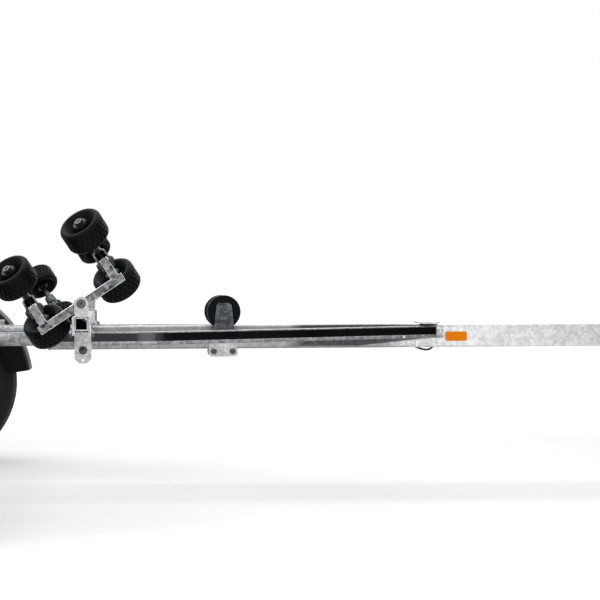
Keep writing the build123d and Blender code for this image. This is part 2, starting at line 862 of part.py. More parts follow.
# Roller pair, drawn on the same strap: turned rollers with a conical recess in each face
half_roller = roller_width / 2
boss_half = half_roller - roller_boss_inset
cone_floor = half_roller - roller_cone_depth
with BuildPart() as roller_pair:
    for way in (1, -1):
        middle = way * roller_spacing / 2
        with BuildSketch(Plane(origin=(0, middle, pair_axle_rise), x_dir=(0, 0, 1), z_dir=(-1, 0, 0))):
            with BuildLine():
                Polyline(
                    (pair_axle_radius + shaft_gap, -boss_half),
                    (roller_boss_radius, -boss_half),
                    (roller_cone_radius, -cone_floor),
                    (roller_face_radius, -half_roller),
                    (roller_radius - roller_edge, -half_roller),
                )
                RadiusArc(
                    (roller_radius - roller_edge, -half_roller),
                    (roller_radius, -half_roller + roller_edge),
                    -roller_edge,
                )
                Line((roller_radius, -half_roller + roller_edge), (roller_radius, half_roller - roller_edge))
                RadiusArc(
                    (roller_radius, half_roller - roller_edge),
                    (roller_radius - roller_edge, half_roller),
                    -roller_edge,
                )
                Polyline(
                    (roller_radius - roller_edge, half_roller),
                    (roller_face_radius, half_roller),
                    (roller_cone_radius, cone_floor),
                    (roller_boss_radius, boss_half),
                    (pair_axle_radius + shaft_gap, boss_half),
                    (pair_axle_radius + shaft_gap, -boss_half),
                )
            make_face()
        revolve(axis=Axis((0, 0, pair_axle_rise), (0, 1, 0)))

# The cradles: each rocker leans on its stop, each pair leans with its outer roller up
along = Vector(cos(lean), 0, sin(lean))
upright = Vector(-sin(lean), 0, cos(lean))
tilt = radians(pair_lean)
ends = ((1, "fore"), (-1, "aft"))
for ahead, set_name in cradle_sets:
    for side, side_name in sides:
        pivot = Vector(axle_x + ahead, side * cradle_y, pivot_z)
        arm_frame = Plane(origin=pivot, x_dir=along, z_dir=upright)
        export_piece(rocker.part.moved(arm_frame.location), f"rocker_{set_name}_{side_name}")
        for end, end_name in ends:
            bolt = pivot + along * (end * stub_reach) + upright * tilt_bolt_rise
            lifted = upright * cos(tilt) - Vector(0, side * sin(tilt), 0)
            pair_frame = Plane(origin=bolt, x_dir=along, z_dir=lifted)
            place_name = f"{set_name}_{side_name}_{end_name}"
            export_piece(strap.part.moved(pair_frame.location), f"strap_{place_name}")
            export_piece(roller_pair.part.moved(pair_frame.location), f"roller_pair_{place_name}")


def keel_roller_outline(pin_radius):
    """Half of a keel roller's outline: a waist over the drawbar and a flared drum at each end."""
    half_waist = keel_waist_width / 2
    half_width = keel_roller_width / 2
    return [
        (pin_radius + shaft_gap, -half_width),
        (keel_roller_radius, -half_width),
        (keel_roller_radius, -half_waist - keel_flare),
        (keel_roller_waist, -half_waist),
        (keel_roller_waist, half_waist),
        (keel_roller_radius, half_waist + keel_flare),
        (keel_roller_radius, half_width),
        (pin_radius + shaft_gap, half_width),
    ]


# Keel rollers: one over the drawbar, one at the tail
keel_rear_z = rail_top + keel_foot_wall + keel_shelf_gap + keel_roller_radius
keel_places = ((keel_front_ahead, keel_front_z, "front"), (keel_rear_ahead, keel_rear_z, "rear"))
for ahead, height, place_name in keel_places:
    with BuildPart() as keel_roller:
        with BuildSketch(Plane(origin=(axle_x + ahead, 0, height), x_dir=(0, 0, 1), z_dir=(-1, 0, 0))):
            with BuildLine():
                Polyline(*keel_roller_outline(keel_pin_radius), close=True)
            make_face()
        revolve(axis=Axis((axle_x + ahead, 0, height), (0, 1, 0)))
    export_piece(keel_roller.part, f"keel_roller_{place_name}")

# Keel roller brackets: a folded plate each side, and a pin through both
keel_cheek_y = keel_roller_width / 2 + play
keel_shelf_z = keel_front_z - keel_roller_radius - keel_shelf_gap - keel_foot_wall
keel_foot_z = drawbar_bottom - keel_plate_drop
with BuildPart() as keel_brackets:
    for ahead, height, place_name in keel_places:
        x = axle_x + ahead
        foot_z = keel_shelf_z if place_name == "front" else rail_top
        for side, _ in sides:
            with BuildSketch(Plane.XZ.offset(-side * keel_cheek_y)):
                with BuildLine():
                    Polyline(
                        (x - keel_cheek_foot / 2, foot_z),
                        (x + keel_cheek_foot / 2, foot_z),
                        (x + keel_cheek_top / 2, height + keel_cheek_rise),
                        (x - keel_cheek_top / 2, height + keel_cheek_rise),
                        close=True,
                    )
                make_face()
                fillet(vertices().group_by(Axis.Y)[-1], keel_plate_corner)
            extrude(amount=-side * keel_cheek_wall)
            if place_name == "front":
                with BuildSketch(Plane.XZ.offset(-side * drawbar_half)):
                    with Locations((x, (foot_z + keel_foot_wall + keel_foot_z) / 2)):
                        Rectangle(keel_shelf_length, foot_z + keel_foot_wall - keel_foot_z)
                        fillet(vertices().group_by(Axis.Y)[0], keel_plate_corner)
                extrude(amount=-side * keel_cheek_wall)
                with BuildSketch(Plane.XY.offset(foot_z)):
                    with Locations((x, side * (drawbar_half + keel_cheek_y + keel_cheek_wall) / 2)):
                        Rectangle(keel_shelf_length, keel_cheek_y + keel_cheek_wall - drawbar_half)
                extrude(amount=keel_foot_wall)
        if place_name == "front":
            with BuildSketch(Plane.XZ.offset(-drawbar_half - keel_cheek_wall - nut_length)):
                for reach in (keel_bolt_reach, -keel_bolt_reach):
                    with Locations((x + reach, drawbar_bottom - keel_bolt_radius - play)):
                        Circle(keel_bolt_radius)
            extrude(amount=2 * (drawbar_half + keel_cheek_wall + nut_length))
        else:
            with BuildSketch(Plane.XY.offset(foot_z)):
                with Locations((x, 0)):
                    Rectangle(keel_cheek_foot, 2 * (keel_cheek_y + keel_cheek_wall))
            extrude(amount=keel_foot_wall)
        with BuildSketch(Plane.XZ.offset(-keel_cheek_y - keel_cheek_wall - nut_length)):
            with Locations((x, height)):
                Circle(keel_pin_radius)
        extrude(amount=2 * (keel_cheek_y + keel_cheek_wall + nut_length))
export_piece(keel_brackets.part, "keel_brackets")

# Winch post: a square tube between two clamp plates, with the bow stop's arm
post_x = axle_x + post_ahead
stop_z = post_top - stop_arm_drop - stop_arm_size / 2
with BuildPart() as winch_post:
    with BuildSketch(Plane.XY.offset(drawbar_top)):
        with Locations((post_x, 0)):
            tube_outline(post_length, post_width, post_wall, post_corner)
    extrude(amount=post_top - drawbar_top)
    with BuildSketch(Plane.XY.offset(post_top)):
        with Locations((post_x, 0)):
            RectangleRounded(post_length, post_width, post_corner)
    extrude(amount=-post_wall)
    for side, _ in sides:
        with BuildSketch(Plane.XZ.offset(-side * drawbar_half)):
            with Locations((post_x, drawbar_z + (post_plate_rise - post_plate_drop) / 2)):
                Rectangle(post_plate_length, drawbar_size + post_plate_rise + post_plate_drop)
                fillet(vertices(), keel_plate_corner)
        extrude(amount=-side * post_plate_wall)
    with BuildSketch(Plane.XZ.offset(-drawbar_half - post_plate_wall - nut_length)):
        for reach in (1, -1):
            bolt_x = post_x + reach * post_plate_length / 3
            with Locations((bolt_x, drawbar_bottom - keel_bolt_radius - play)):
                Circle(keel_bolt_radius)
    extrude(amount=2 * (drawbar_half + post_plate_wall + nut_length))
    with BuildSketch(Plane.YZ.offset(post_x - post_length / 2)):
        with Locations((0, stop_z)):
            Rectangle(stop_arm_size, stop_arm_size)
            Rectangle(stop_arm_size - 2 * post_wall, stop_arm_size - 2 * post_wall, mode=Mode.SUBTRACT)
    extrude(amount=-stop_arm_length)
export_piece(winch_post.part, "winch_post")

# Bow stop: a rubber block with a notch for the stem
stop_front_x = post_x - post_length / 2 - stop_arm_length
stop_back_x = stop_front_x - stop_block_length
with BuildPart() as bow_stop:
    with BuildSketch(Plane.XY.offset(stop_z - stop_block_height / 2)):
        with BuildLine():
            Polyline(
                (stop_front_x, -stop_block_width / 2),
                (stop_front_x, stop_block_width / 2),
                (stop_back_x, stop_block_width / 2),
                (stop_back_x, stop_notch_width / 2),
                (stop_back_x + stop_notch_depth, 0),
                (stop_back_x, -stop_notch_width / 2),
                (stop_back_x, -stop_block_width / 2),
                close=True,
            )
        make_face()
    extrude(amount=stop_block_height)
export_piece(bow_stop.part, "bow_stop")

# Winch frame: back plate on the post and a side plate each side
winch_back_x = post_x - post_length / 2
drum_x = winch_back_x - drum_ahead_of_back
crank_x = winch_back_x - crank_shaft_back
crank_z = winch_z + crank_shaft_rise
with BuildPart() as winch_frame:
    with BuildSketch(Plane.YZ.offset(winch_back_x)):
        with Locations((0, winch_z)):
            Rectangle(2 * winch_half_width, winch_height)
    extrude(amount=-winch_back_wall)
    for side, _ in sides:
        with BuildSketch(Plane.XZ.offset(-side * winch_half_width)):
            with BuildLine():
                Polyline(
                    (winch_back_x, winch_z - winch_height / 2),
                    (winch_back_x, winch_z + winch_height / 2),
                    (winch_back_x - winch_length / 2, winch_z + winch_height / 2),
                    (winch_back_x - winch_length, winch_z + winch_nose),
                    (winch_back_x - winch_length, winch_z - winch_nose),
                    (winch_back_x - winch_length / 2, winch_z - winch_height / 2),
                    close=True,
                )
            make_face()
            with Locations((drum_x, winch_z)):
                Circle(winch_shaft_radius + shaft_gap, mode=Mode.SUBTRACT)
            with Locations((crank_x, crank_z)):
                Circle(crank_shaft_radius + shaft_gap, mode=Mode.SUBTRACT)
        extrude(amount=side * winch_side_wall)
export_piece(winch_frame.part, "winch_frame")

# Winch drum: shaft, core and two flanges, with the strap wound on it
winch_inner = winch_half_width - winch_side_wall
flange_outer = winch_inner - winch_side_gap
flange_inner = flange_outer - winch_flange_wall
with BuildPart() as winch_drum:
    for radius, reach in (
        (winch_shaft_radius, winch_half_width + nut_length),
        (winch_core_radius, flange_outer),
    ):
        with BuildSketch(Plane.XZ.offset(-reach)):
            with Locations((drum_x, winch_z)):
                Circle(radius)
        extrude(amount=2 * reach)
    for side, _ in sides:
        with BuildSketch(Plane.XZ.offset(-side * flange_outer)):
            with Locations((drum_x, winch_z)):
                Circle(winch_flange_radius)
        extrude(amount=side * winch_flange_wall)
export_piece(winch_drum.part, "winch_drum")
with BuildPart() as strap_coil:
    with BuildSketch(Plane.XZ.offset(-flange_inner + play)):
        with Locations((drum_x, winch_z)):
            Circle(strap_coil_radius)
            Circle(winch_core_radius, mode=Mode.SUBTRACT)
    extrude(amount=2 * (flange_inner - play))
export_piece(strap_coil.part, "strap_coil")

# Winch crank: cross shaft, arm on the left and a grip
crank_plane_y = winch_half_width + crank_gap
crank_angle = radians(crank_lean)
grip_x = crank_x - crank_length * cos(crank_angle)
grip_z = crank_z - crank_length * sin(crank_angle)
with BuildPart() as winch_crank:
    with BuildSketch(Plane.XZ.offset(winch_half_width + nut_length)):
        with Locations((crank_x, crank_z)):
            Circle(crank_shaft_radius)
    extrude(amount=-2 * winch_half_width - nut_length - crank_gap - crank_wall)
    with BuildSketch(Plane.XZ.offset(-crank_plane_y)):
        for place in ((crank_x, crank_z), (grip_x, grip_z)):
            with Locations(place):
                Circle(crank_width / 2)
        make_hull()
    extrude(amount=-crank_wall)
    with BuildSketch(Plane.XZ.offset(-crank_plane_y - crank_wall)):
        with Locations((grip_x, grip_z)):
            Circle(grip_radius)
    extrude(amount=-grip_length)
export_piece(winch_crank.part, "winch_crank")

# Overrun housing: clamp plates on the drawbar and a nose tapering to the drawshaft
housing_length = housing_front_ahead - housing_back_ahead
nose_start = axle_x + drawbar_front_ahead
with BuildPart() as overrun_housing:
    for side, _ in sides:
        with BuildSketch(Plane.XZ.offset(-side * drawbar_half)):
            with Locations((axle_x + housing_back_ahead + housing_length / 4, drawbar_z)):
                Rectangle(housing_length / 2 + housing_drop, housing_size)
        extrude(amount=-side * housing_wall)
    with BuildSketch(Plane.YZ.offset(nose_start)):
        with Locations((0, drawbar_z)):
            RectangleRounded(drawbar_size + 2 * housing_wall, housing_size, housing_drop)
    with BuildSketch(Plane.YZ.offset(axle_x + housing_front_ahead)):
        with Locations((0, drawbar_z)):
            Circle(housing_nose_radius)
    loft()
    for side, _ in sides:
        with BuildSketch(Plane.XZ.offset(-side * (drawbar_half + housing_wall))):
            with Locations((axle_x + brake_lever_ahead, drawbar_z)):
                Circle(brake_boss_radius)
        extrude(amount=-side * brake_boss_length)
export_piece(overrun_housing.part, "overrun_housing")

# Gaiter: a folded rubber sleeve over the drawshaft
gaiter_start = axle_x + housing_front_ahead
fold_pitch = gaiter_length / gaiter_folds
gaiter_line = [(gaiter_start, gaiter_valley_radius)]
for fold in range(gaiter_folds):
    gaiter_line.append((gaiter_start + (fold + 1 / 2) * fold_pitch, gaiter_radius))
    gaiter_line.append((gaiter_start + (fold + 1) * fold_pitch, gaiter_valley_radius))
gaiter_outline = [(x, drawbar_z + radius) for x, radius in gaiter_line]
gaiter_bore = drawbar_z + drawshaft_radius + play
with BuildPart() as gaiter:
    with BuildSketch(Plane.XZ):
        with BuildLine():
            Polyline(
                (gaiter_start, gaiter_bore),
                *gaiter_outline,
                (gaiter_start + gaiter_length, gaiter_bore),
                close=True,
            )
        make_face()
    revolve(axis=Axis((0, 0, drawbar_z), (1, 0, 0)))
export_piece(gaiter.part, "drawshaft_gaiter")

# Coupling head: drawshaft, shank and a domed cup with the ball's socket in it
ball_x = axle_x + ball_ahead
socket_top = cup_bottom + socket_depth
cup_top = socket_top + socket_radius + cup_wall
with BuildPart() as coupling_head:
    with BuildSketch(Plane.YZ.offset(gaiter_start)):
        with Locations((0, drawbar_z)):
            Circle(drawshaft_radius)
    extrude(amount=gaiter_length + cup_wall)
    with BuildSketch(Plane.YZ.offset(gaiter_start + gaiter_length)):
        with Locations((0, drawbar_z)):
            RectangleRounded(head_width, head_height, head_corner)
    with BuildSketch(Plane.YZ.offset(ball_x)):
        with Locations((0, (cup_top + cup_bottom) / 2)):
            RectangleRounded(head_width, cup_top - cup_bottom, head_corner)
    loft()
    with BuildSketch(Plane.XY.offset(cup_bottom)):
        with Locations((ball_x, 0)):
            Circle(cup_radius)
    extrude(amount=cup_top - cup_bottom)
    fillet(edges().filter_by(GeomType.CIRCLE).group_by(Axis.Z)[-1], head_corner)
    with BuildSketch(Plane.XY.offset(cup_bottom - overrun)):
        with Locations((ball_x, 0)):
            Circle(socket_radius)
    extrude(amount=socket_depth + overrun, mode=Mode.SUBTRACT)
    with Locations((ball_x, 0, socket_top)):
        Sphere(socket_radius, mode=Mode.SUBTRACT)
export_piece(coupling_head.part, "coupling_head")

# Coupling handle: a moulded lever lying back over the shank
with BuildPart() as coupling_handle:
    with BuildSketch(Plane.XZ.offset(-lever_width / 2)):
        with BuildLine():
            Polyline(
                (ball_x, cup_top),
                (ball_x + lever_wall, cup_top),
                (ball_x + lever_wall, cup_top + lever_rise),
                (ball_x - lever_length, cup_top + lever_rise + lever_wall),
                (ball_x - lever_length, cup_top + lever_rise),
                (ball_x - lever_wall, cup_top + lever_wall),
                close=True,
            )
        make_face()
        fillet(vertices().group_by(Axis.X)[0], lever_wall / 3)
    extrude(amount=lever_width)
export_piece(coupling_handle.part, "coupling_handle")

# Brake lever: a flat bar beside the housing with a moulded grip
brake_x = axle_x + brake_lever_ahead
brake_y = drawbar_half + housing_wall + brake_boss_length
brake_angle = radians(brake_lever_lean)
brake_tip = (
    brake_x + brake_lever_length * cos(brake_angle),
    drawbar_z + brake_lever_length * sin(brake_angle),
)
grip_start = Vector(brake_tip[0], 0, brake_tip[1])
grip_way = Vector(cos(brake_angle), 0, sin(brake_angle))
with BuildPart() as brake_lever:
    with BuildSketch(Plane.XZ.offset(brake_y)):
        for place in ((brake_x, drawbar_z), brake_tip):
            with Locations(place):
                Circle(brake_lever_width / 2)
        make_hull()
    extrude(amount=brake_lever_wall)
    grip_middle = Vector(0, -brake_y - brake_lever_wall / 2, 0)
    with BuildSketch(Plane(origin=grip_start + grip_middle, z_dir=grip_way)):
        Circle(brake_grip_radius)
    extrude(amount=brake_grip_length)
export_piece(brake_lever.part, "brake_lever")

# Jockey clamp: a collar on a plate against the drawbar's left side
jockey_x = axle_x + jockey_ahead
collar_bottom = drawbar_z - jockey_collar_height / 2
with BuildPart() as jockey_clamp:
    with BuildSketch(Plane.XZ.offset(-drawbar_half)):
        with Locations((jockey_x, drawbar_z)):
            RectangleRounded(jockey_plate_length, jockey_plate_height, drawbar_corner)
    extrude(amount=-jockey_plate_wall)
    with BuildSketch(Plane.XY.offset(collar_bottom)):
        with Locations((jockey_x, jockey_y)):
            Circle(jockey_collar_radius)
        with Locations((jockey_x, drawbar_half + (jockey_plate_wall + jockey_collar_radius) / 2)):
            Rectangle(jockey_collar_radius, jockey_plate_wall + jockey_collar_radius)
        with Locations((jockey_x, jockey_y)):
            Circle(jockey_tube_radius + shaft_gap, mode=Mode.SUBTRACT)
    extrude(amount=jockey_collar_height)
export_piece(jockey_clamp.part, "jockey_clamp")

# Jockey tube: the outer tube with its cap and crank
with BuildPart() as jockey_tube:
    with BuildSketch(Plane.XY.offset(jockey_bottom)):
        with Locations((jockey_x, jockey_y)):
            Circle(jockey_tube_radius)
            Circle(jockey_leg_radius + shaft_gap, mode=Mode.SUBTRACT)
    extrude(amount=jockey_top - jockey_bottom)
    with BuildSketch(Plane.XY.offset(jockey_top)):
        with Locations((jockey_x, jockey_y)):
            Circle(jockey_tube_radius)
    extrude(amount=jockey_cap_height)
    with BuildSketch(Plane.XY.offset(jockey_top + jockey_cap_height)):
        for reach in (0, jockey_crank_length):
            with Locations((jockey_x + reach, jockey_y)):
                Circle(jockey_crank_width / 2)
        make_hull()
    extrude(amount=jockey_crank_wall)
    with BuildSketch(Plane.XY.offset(jockey_top + jockey_cap_height + jockey_crank_wall)):
        with Locations((jockey_x + jockey_crank_length, jockey_y)):
            Circle(jockey_knob_radius)
    extrude(amount=jockey_knob_height)
export_piece(jockey_tube.part, "jockey_tube")

# Jockey leg: the inner tube, a fork and the wheel's axle, trailing behind the swivel
fork_inner = jockey_wheel_width / 2 + jockey_fork_gap
fork_outer = fork_inner + jockey_fork_wall
jockey_wheel_x = jockey_x - jockey_trail
crown_length = jockey_fork_width + jockey_trail
with BuildPart() as jockey_leg:
    with BuildSketch(Plane.XY.offset(jockey_crown_z)):
        with Locations((jockey_x, jockey_y)):
            Circle(jockey_leg_radius)
    extrude(amount=jockey_bottom + jockey_leg_overlap - jockey_crown_z)
    with BuildSketch(Plane.XY.offset(jockey_crown_z)):
        with Locations((jockey_x - jockey_trail / 2, jockey_y)):
            Rectangle(crown_length, 2 * fork_outer)
    extrude(amount=jockey_crown_wall)
    for way in (1, -1):
        with BuildSketch(Plane.XZ.offset(-jockey_y - way * fork_inner)):
            with Locations((jockey_wheel_x, jockey_wheel_radius)):
                Circle(jockey_fork_width / 2)
            with Locations((jockey_x - jockey_trail / 2, jockey_crown_z + jockey_crown_wall / 2)):
                Rectangle(crown_length, jockey_crown_wall)
            make_hull()
        extrude(amount=-way * jockey_fork_wall)
    with BuildSketch(Plane.XZ.offset(-jockey_y - fork_outer - play)):
        with Locations((jockey_wheel_x, jockey_wheel_radius)):
            Circle(jockey_axle_radius)
    extrude(amount=2 * (fork_outer + play))
export_piece(jockey_leg.part, "jockey_leg")

# Jockey wheel: a moulded wheel with a solid tyre, dished on both sides
wheel_half = jockey_wheel_width / 2
web_half = jockey_web / 2
tread_half = jockey_tread / 2
with BuildPart() as jockey_wheel:
    wheel_plane = Plane(
        origin=(jockey_wheel_x, jockey_y, jockey_wheel_radius), x_dir=(0, 0, 1), z_dir=(-1, 0, 0)
    )
    with BuildSketch(wheel_plane):
        with BuildLine():
            Polyline(
                (jockey_axle_radius + shaft_gap, -wheel_half),
                (jockey_hub_radius, -wheel_half),
                (jockey_hub_radius, -web_half),
                (jockey_rim_radius, -web_half),
                (jockey_rim_radius, -wheel_half + play),
                ((jockey_rim_radius + jockey_wheel_radius) / 2, -wheel_half + play),
                (jockey_wheel_radius, -tread_half),
                (jockey_wheel_radius, tread_half),
                ((jockey_rim_radius + jockey_wheel_radius) / 2, wheel_half - play),
                (jockey_rim_radius, wheel_half - play),
                (jockey_rim_radius, web_half),
                (jockey_hub_radius, web_half),
                (jockey_hub_radius, wheel_half),
                (jockey_axle_radius + shaft_gap, wheel_half),
                close=True,
            )
        make_face()
    revolve(axis=Axis((jockey_wheel_x, 0, jockey_wheel_radius), (0, 1, 0)))
export_piece(jockey_wheel.part, "jockey_wheel")

# Light bar: a flat tube behind the rails on two arms
rear_x = -overall_length / 2
lens_front_x = rear_x + lens_depth
lamp_front_x = lens_front_x + lamp_depth
bar_front_x = lamp_front_x + light_bar_depth
arm_front_x = axle_x - rail_rear_behind + light_arm_overlap
with BuildPart() as light_bar:
    with BuildSketch(Plane.YZ.offset(lamp_front_x)):
        with Locations((0, light_bar_z)):
            Rectangle(light_bar_length, light_bar_height)
    extrude(amount=light_bar_depth)
    for side, _ in sides:
        with BuildSketch(Plane.YZ.offset(bar_front_x)):
            with Locations((side * rail_y, light_bar_z)):
                Rectangle(light_arm_size, light_arm_size)
                Rectangle(light_arm_inner, light_arm_inner, mode=Mode.SUBTRACT)
        extrude(amount=arm_front_x - bar_front_x)
export_piece(light_bar.part, "light_bar")

# Rear lamps: a housing and a lens at each end of the bar
lens_width = lamp_width - 2 * lens_inset
lens_height = lamp_height - 2 * lens_inset
with BuildPart() as lamp_housings:
    with BuildSketch(Plane.YZ.offset(lens_front_x)):
        for side, _ in sides:
            with Locations((side * lamp_y, light_bar_z)):
                RectangleRounded(lamp_width, lamp_height, lamp_corner)
    extrude(amount=lamp_depth)
export_piece(lamp_housings.part, "lamp_housings")
with BuildPart() as lamp_lenses:
    with BuildSketch(Plane.YZ.offset(rear_x)):
        for side, _ in sides:
            with Locations((side * lamp_y, light_bar_z)):
                RectangleRounded(lens_width, lens_height, lamp_corner - lens_inset)
    extrude(amount=lens_depth)
export_piece(lamp_lenses.part, "lamp_lenses")

# Side reflectors: a pair on the drawbar and a pair on the rails
with BuildPart() as side_reflectors:
    for side, _ in sides:
        for ahead, face, height in (
            (reflector_front_ahead, drawbar_half, reflector_front_z),
            (reflector_rear_ahead, rail_outer_y, rail_z),
        ):
            with BuildSketch(Plane.XZ.offset(-side * face)):
                with Locations((axle_x + ahead, height)):
                    RectangleRounded(reflector_length, reflector_height, reflector_corner)
            extrude(amount=-side * reflector_wall)
export_piece(side_reflectors.part, "side_reflectors")
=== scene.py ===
# %% [markdown]
# A boat trailer on its road wheels and its jockey wheel, dressed for a product picture.
# The CAD model gives every piece its place, so this script adds surfaces, small fittings and light.
# It works in metres, with the nose along +X, the left side along +Y and up along +Z.

# %% Load the frame
import json
import math

import bmesh
import bpy
from mathutils import Matrix, Vector


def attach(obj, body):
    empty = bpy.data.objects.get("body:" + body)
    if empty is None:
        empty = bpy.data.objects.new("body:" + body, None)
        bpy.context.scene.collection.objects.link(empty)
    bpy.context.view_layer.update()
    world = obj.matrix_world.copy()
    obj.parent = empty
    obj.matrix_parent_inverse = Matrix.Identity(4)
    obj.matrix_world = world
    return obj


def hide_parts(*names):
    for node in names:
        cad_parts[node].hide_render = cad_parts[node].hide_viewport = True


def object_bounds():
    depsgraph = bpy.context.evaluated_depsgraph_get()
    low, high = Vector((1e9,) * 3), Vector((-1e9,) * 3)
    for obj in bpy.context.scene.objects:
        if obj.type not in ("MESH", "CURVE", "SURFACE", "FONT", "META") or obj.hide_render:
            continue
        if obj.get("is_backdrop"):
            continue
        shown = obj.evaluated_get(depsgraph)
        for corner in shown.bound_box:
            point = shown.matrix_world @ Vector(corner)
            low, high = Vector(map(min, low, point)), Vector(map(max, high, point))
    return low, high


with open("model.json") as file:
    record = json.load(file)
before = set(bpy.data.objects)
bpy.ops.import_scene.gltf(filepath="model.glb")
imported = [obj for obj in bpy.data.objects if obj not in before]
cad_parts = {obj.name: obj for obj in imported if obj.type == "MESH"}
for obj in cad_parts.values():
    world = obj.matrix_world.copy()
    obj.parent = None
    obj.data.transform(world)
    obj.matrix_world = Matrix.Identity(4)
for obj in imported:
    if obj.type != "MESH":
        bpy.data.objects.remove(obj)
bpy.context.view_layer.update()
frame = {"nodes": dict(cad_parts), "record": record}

# %% [markdown]
# The picture was taken square to the trailer from its right side, with a long lens and the
# camera shifted sideways, so the frame stays level. A shifted lens keeps the tubes parallel,
# where a turned camera would make them run together. The slight roll is the photographer's.

# %% Camera
MM = 0.001
AXLE_X = -580 * MM
PICTURE = 600
FOCAL_PIXELS = 1603
EYE = Vector((0.142, -5.5, 0.688))
EYE_PIXEL = (115, 290.7)
ROLL = math.radians(0.4)
QUARTER_TURN = math.radians(90)
SENSOR_MM = 36
NEAREST, FARTHEST = 0.1, 100

camera_data = bpy.data.cameras.new("camera")
camera = bpy.data.objects.new("camera", camera_data)
bpy.context.scene.collection.objects.link(camera)
camera.location = EYE
camera.rotation_euler = (QUARTER_TURN, ROLL, 0)
camera_data.sensor_width = SENSOR_MM
camera_data.lens = FOCAL_PIXELS / PICTURE * camera_data.sensor_width
camera_data.shift_x = (PICTURE / 2 - EYE_PIXEL[0]) / PICTURE
camera_data.shift_y = -(PICTURE / 2 - EYE_PIXEL[1]) / PICTURE
camera_data.clip_start = NEAREST
camera_data.clip_end = FARTHEST
bpy.context.scene.camera = camera
bpy.context.scene.view_settings.view_transform = "Standard"
print("lens", round(camera_data.lens, 1), "shift", round(camera_data.shift_x, 3))

# %% [markdown]
# Under the drawbar the lighting cable comes out of a slot, hangs in a short loop and goes
# back in. It is a sheathed cable of seven millimetres, so it bends in one smooth line. A
# spline with a round bevel gives that line its thickness.

# %% Lighting cable
CABLE_ROUTE = (
    # millimetres ahead of the axle, and height above the floor
    (1706, 503.0),
    (1727, 497.5),
    (1748, 489.0),
    (1769, 481.0),
    (1790, 478.5),
    (1805, 486.5),
    (1815, 500.0),
)
CABLE_Y = -22 * MM
CABLE_RADIUS = 3.5 * MM

cable_curve = bpy.data.curves.new("lighting_cable", "CURVE")
cable_curve.dimensions = "3D"
cable_curve.bevel_depth = 1
cable_curve.bevel_resolution = 6
cable_curve.use_fill_caps = True
cable_spline = cable_curve.splines.new("NURBS")
cable_spline.points.add(len(CABLE_ROUTE) - 1)
for point, (ahead, height) in zip(cable_spline.points, CABLE_ROUTE):
    point.co = (AXLE_X + ahead * MM, CABLE_Y, height * MM, 1)
    point.radius = CABLE_RADIUS
cable_spline.order_u = 3
cable_spline.use_endpoint_u = True
cable_spline.resolution_u = 12
cable = bpy.data.objects.new("lighting_cable", cable_curve)
bpy.context.scene.collection.objects.link(cable)
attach(cable, "frame")
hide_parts("cable_loop")

# %% [markdown]
# A studio for a pale product picture: a white floor, soft panels above and in front, and a
# white background. The camera and the reflections see a floor that glows more the farther it
# is from the trailer, so it fades to white and keeps a soft shadow under the wheels. The
# lamps are wide, so the metal gets long soft streaks and not hot spots.

# %% Colour and nodes
def linear(code):
    """Linear colour of an sRGB hex code."""
    parts = [int(code[i : i + 2], 16) / 255 for i in (1, 3, 5)]
    return (*[c / 12.92 if c <= 0.04045 else ((c + 0.055) / 1.055) ** 2.4 for c in parts], 1)


def node(tree, kind, links=(), **settings):
    """Adds a node with its settings. Links give an input's name and what feeds it."""
    made = tree.nodes.new(kind)
    for key, value in settings.items():
        if key.startswith("in_"):
            name = key[3:]
            made.inputs[int(name) if name.isdigit() else name.replace("_", " ")].default_value = value
        else:
            setattr(made, key, value)
    for name, source in dict(links).items():
        tree.links.new(source, made.inputs[name])
    return made


def new_material(name):
    """A material with an empty node tree and its output."""
    material = bpy.data.materials.new(name)
    material.use_nodes = True
    material.node_tree.nodes.clear()
    return material, material.node_tree


def seen_rays(tree):
    """One where the camera, a reflection or a clear piece looks, and zero for the other light."""
    rays = node(tree, "ShaderNodeLightPath").outputs
    eye_or_mirror = node(
        tree, "ShaderNodeMath", {0: rays["Is Camera Ray"], 1: rays["Is Glossy Ray"]}, operation="ADD"
    )
    return node(
        tree, "ShaderNodeMath", {0: eye_or_mirror.outputs[0], 1: rays["Is Transmission Ray"]},
        operation="ADD", use_clamp=True,
    ).outputs[0]


def mesh_of(bm, name):
    """Turns a bmesh into a mesh and frees it."""
    mesh = bpy.data.meshes.new(name)
    bm.to_mesh(mesh)
    bm.free()
    return mesh


print("white is", linear("#ffffff"))

# %% Floor
FLOOR_HALF = 60
SHADE_MIDDLE = 0.8
SHADE_START, SHADE_END = 1.0, 5.0
GLOW_NEAR, GLOW_FAR = 0.2, 0.85

floor_bm = bmesh.new()
bmesh.ops.create_grid(floor_bm, x_segments=1, y_segments=1, size=FLOOR_HALF)
floor = bpy.data.objects.new("floor", mesh_of(floor_bm, "floor"))
bpy.context.scene.collection.objects.link(floor)
floor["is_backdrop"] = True

floor_material, tree = new_material("studio_floor")
lit = node(tree, "ShaderNodeBsdfDiffuse", in_Color=linear("#e6e6e6"))
place = node(tree, "ShaderNodeTexCoord")
split = node(tree, "ShaderNodeSeparateXYZ", {"Vector": place.outputs["Object"]})
off = node(tree, "ShaderNodeMath", {0: split.outputs["Y"]}, operation="SUBTRACT", in_1=SHADE_MIDDLE)
off = node(tree, "ShaderNodeMath", {0: off.outputs[0]}, operation="ABSOLUTE")
lift = node(
    tree, "ShaderNodeMapRange", {"Value": off.outputs[0]}, in_From_Min=SHADE_START, in_From_Max=SHADE_END,
    in_To_Min=GLOW_NEAR, in_To_Max=GLOW_FAR,
)
white = node(tree, "ShaderNodeEmission", {"Strength": lift.outputs[0]}, in_Color=linear("#ffffff"))
pale = node(tree, "ShaderNodeAddShader", {0: lit.outputs[0], 1: white.outputs[0]})
plain = node(tree, "ShaderNodeBsdfDiffuse", in_Color=linear("#d8d8d8"))
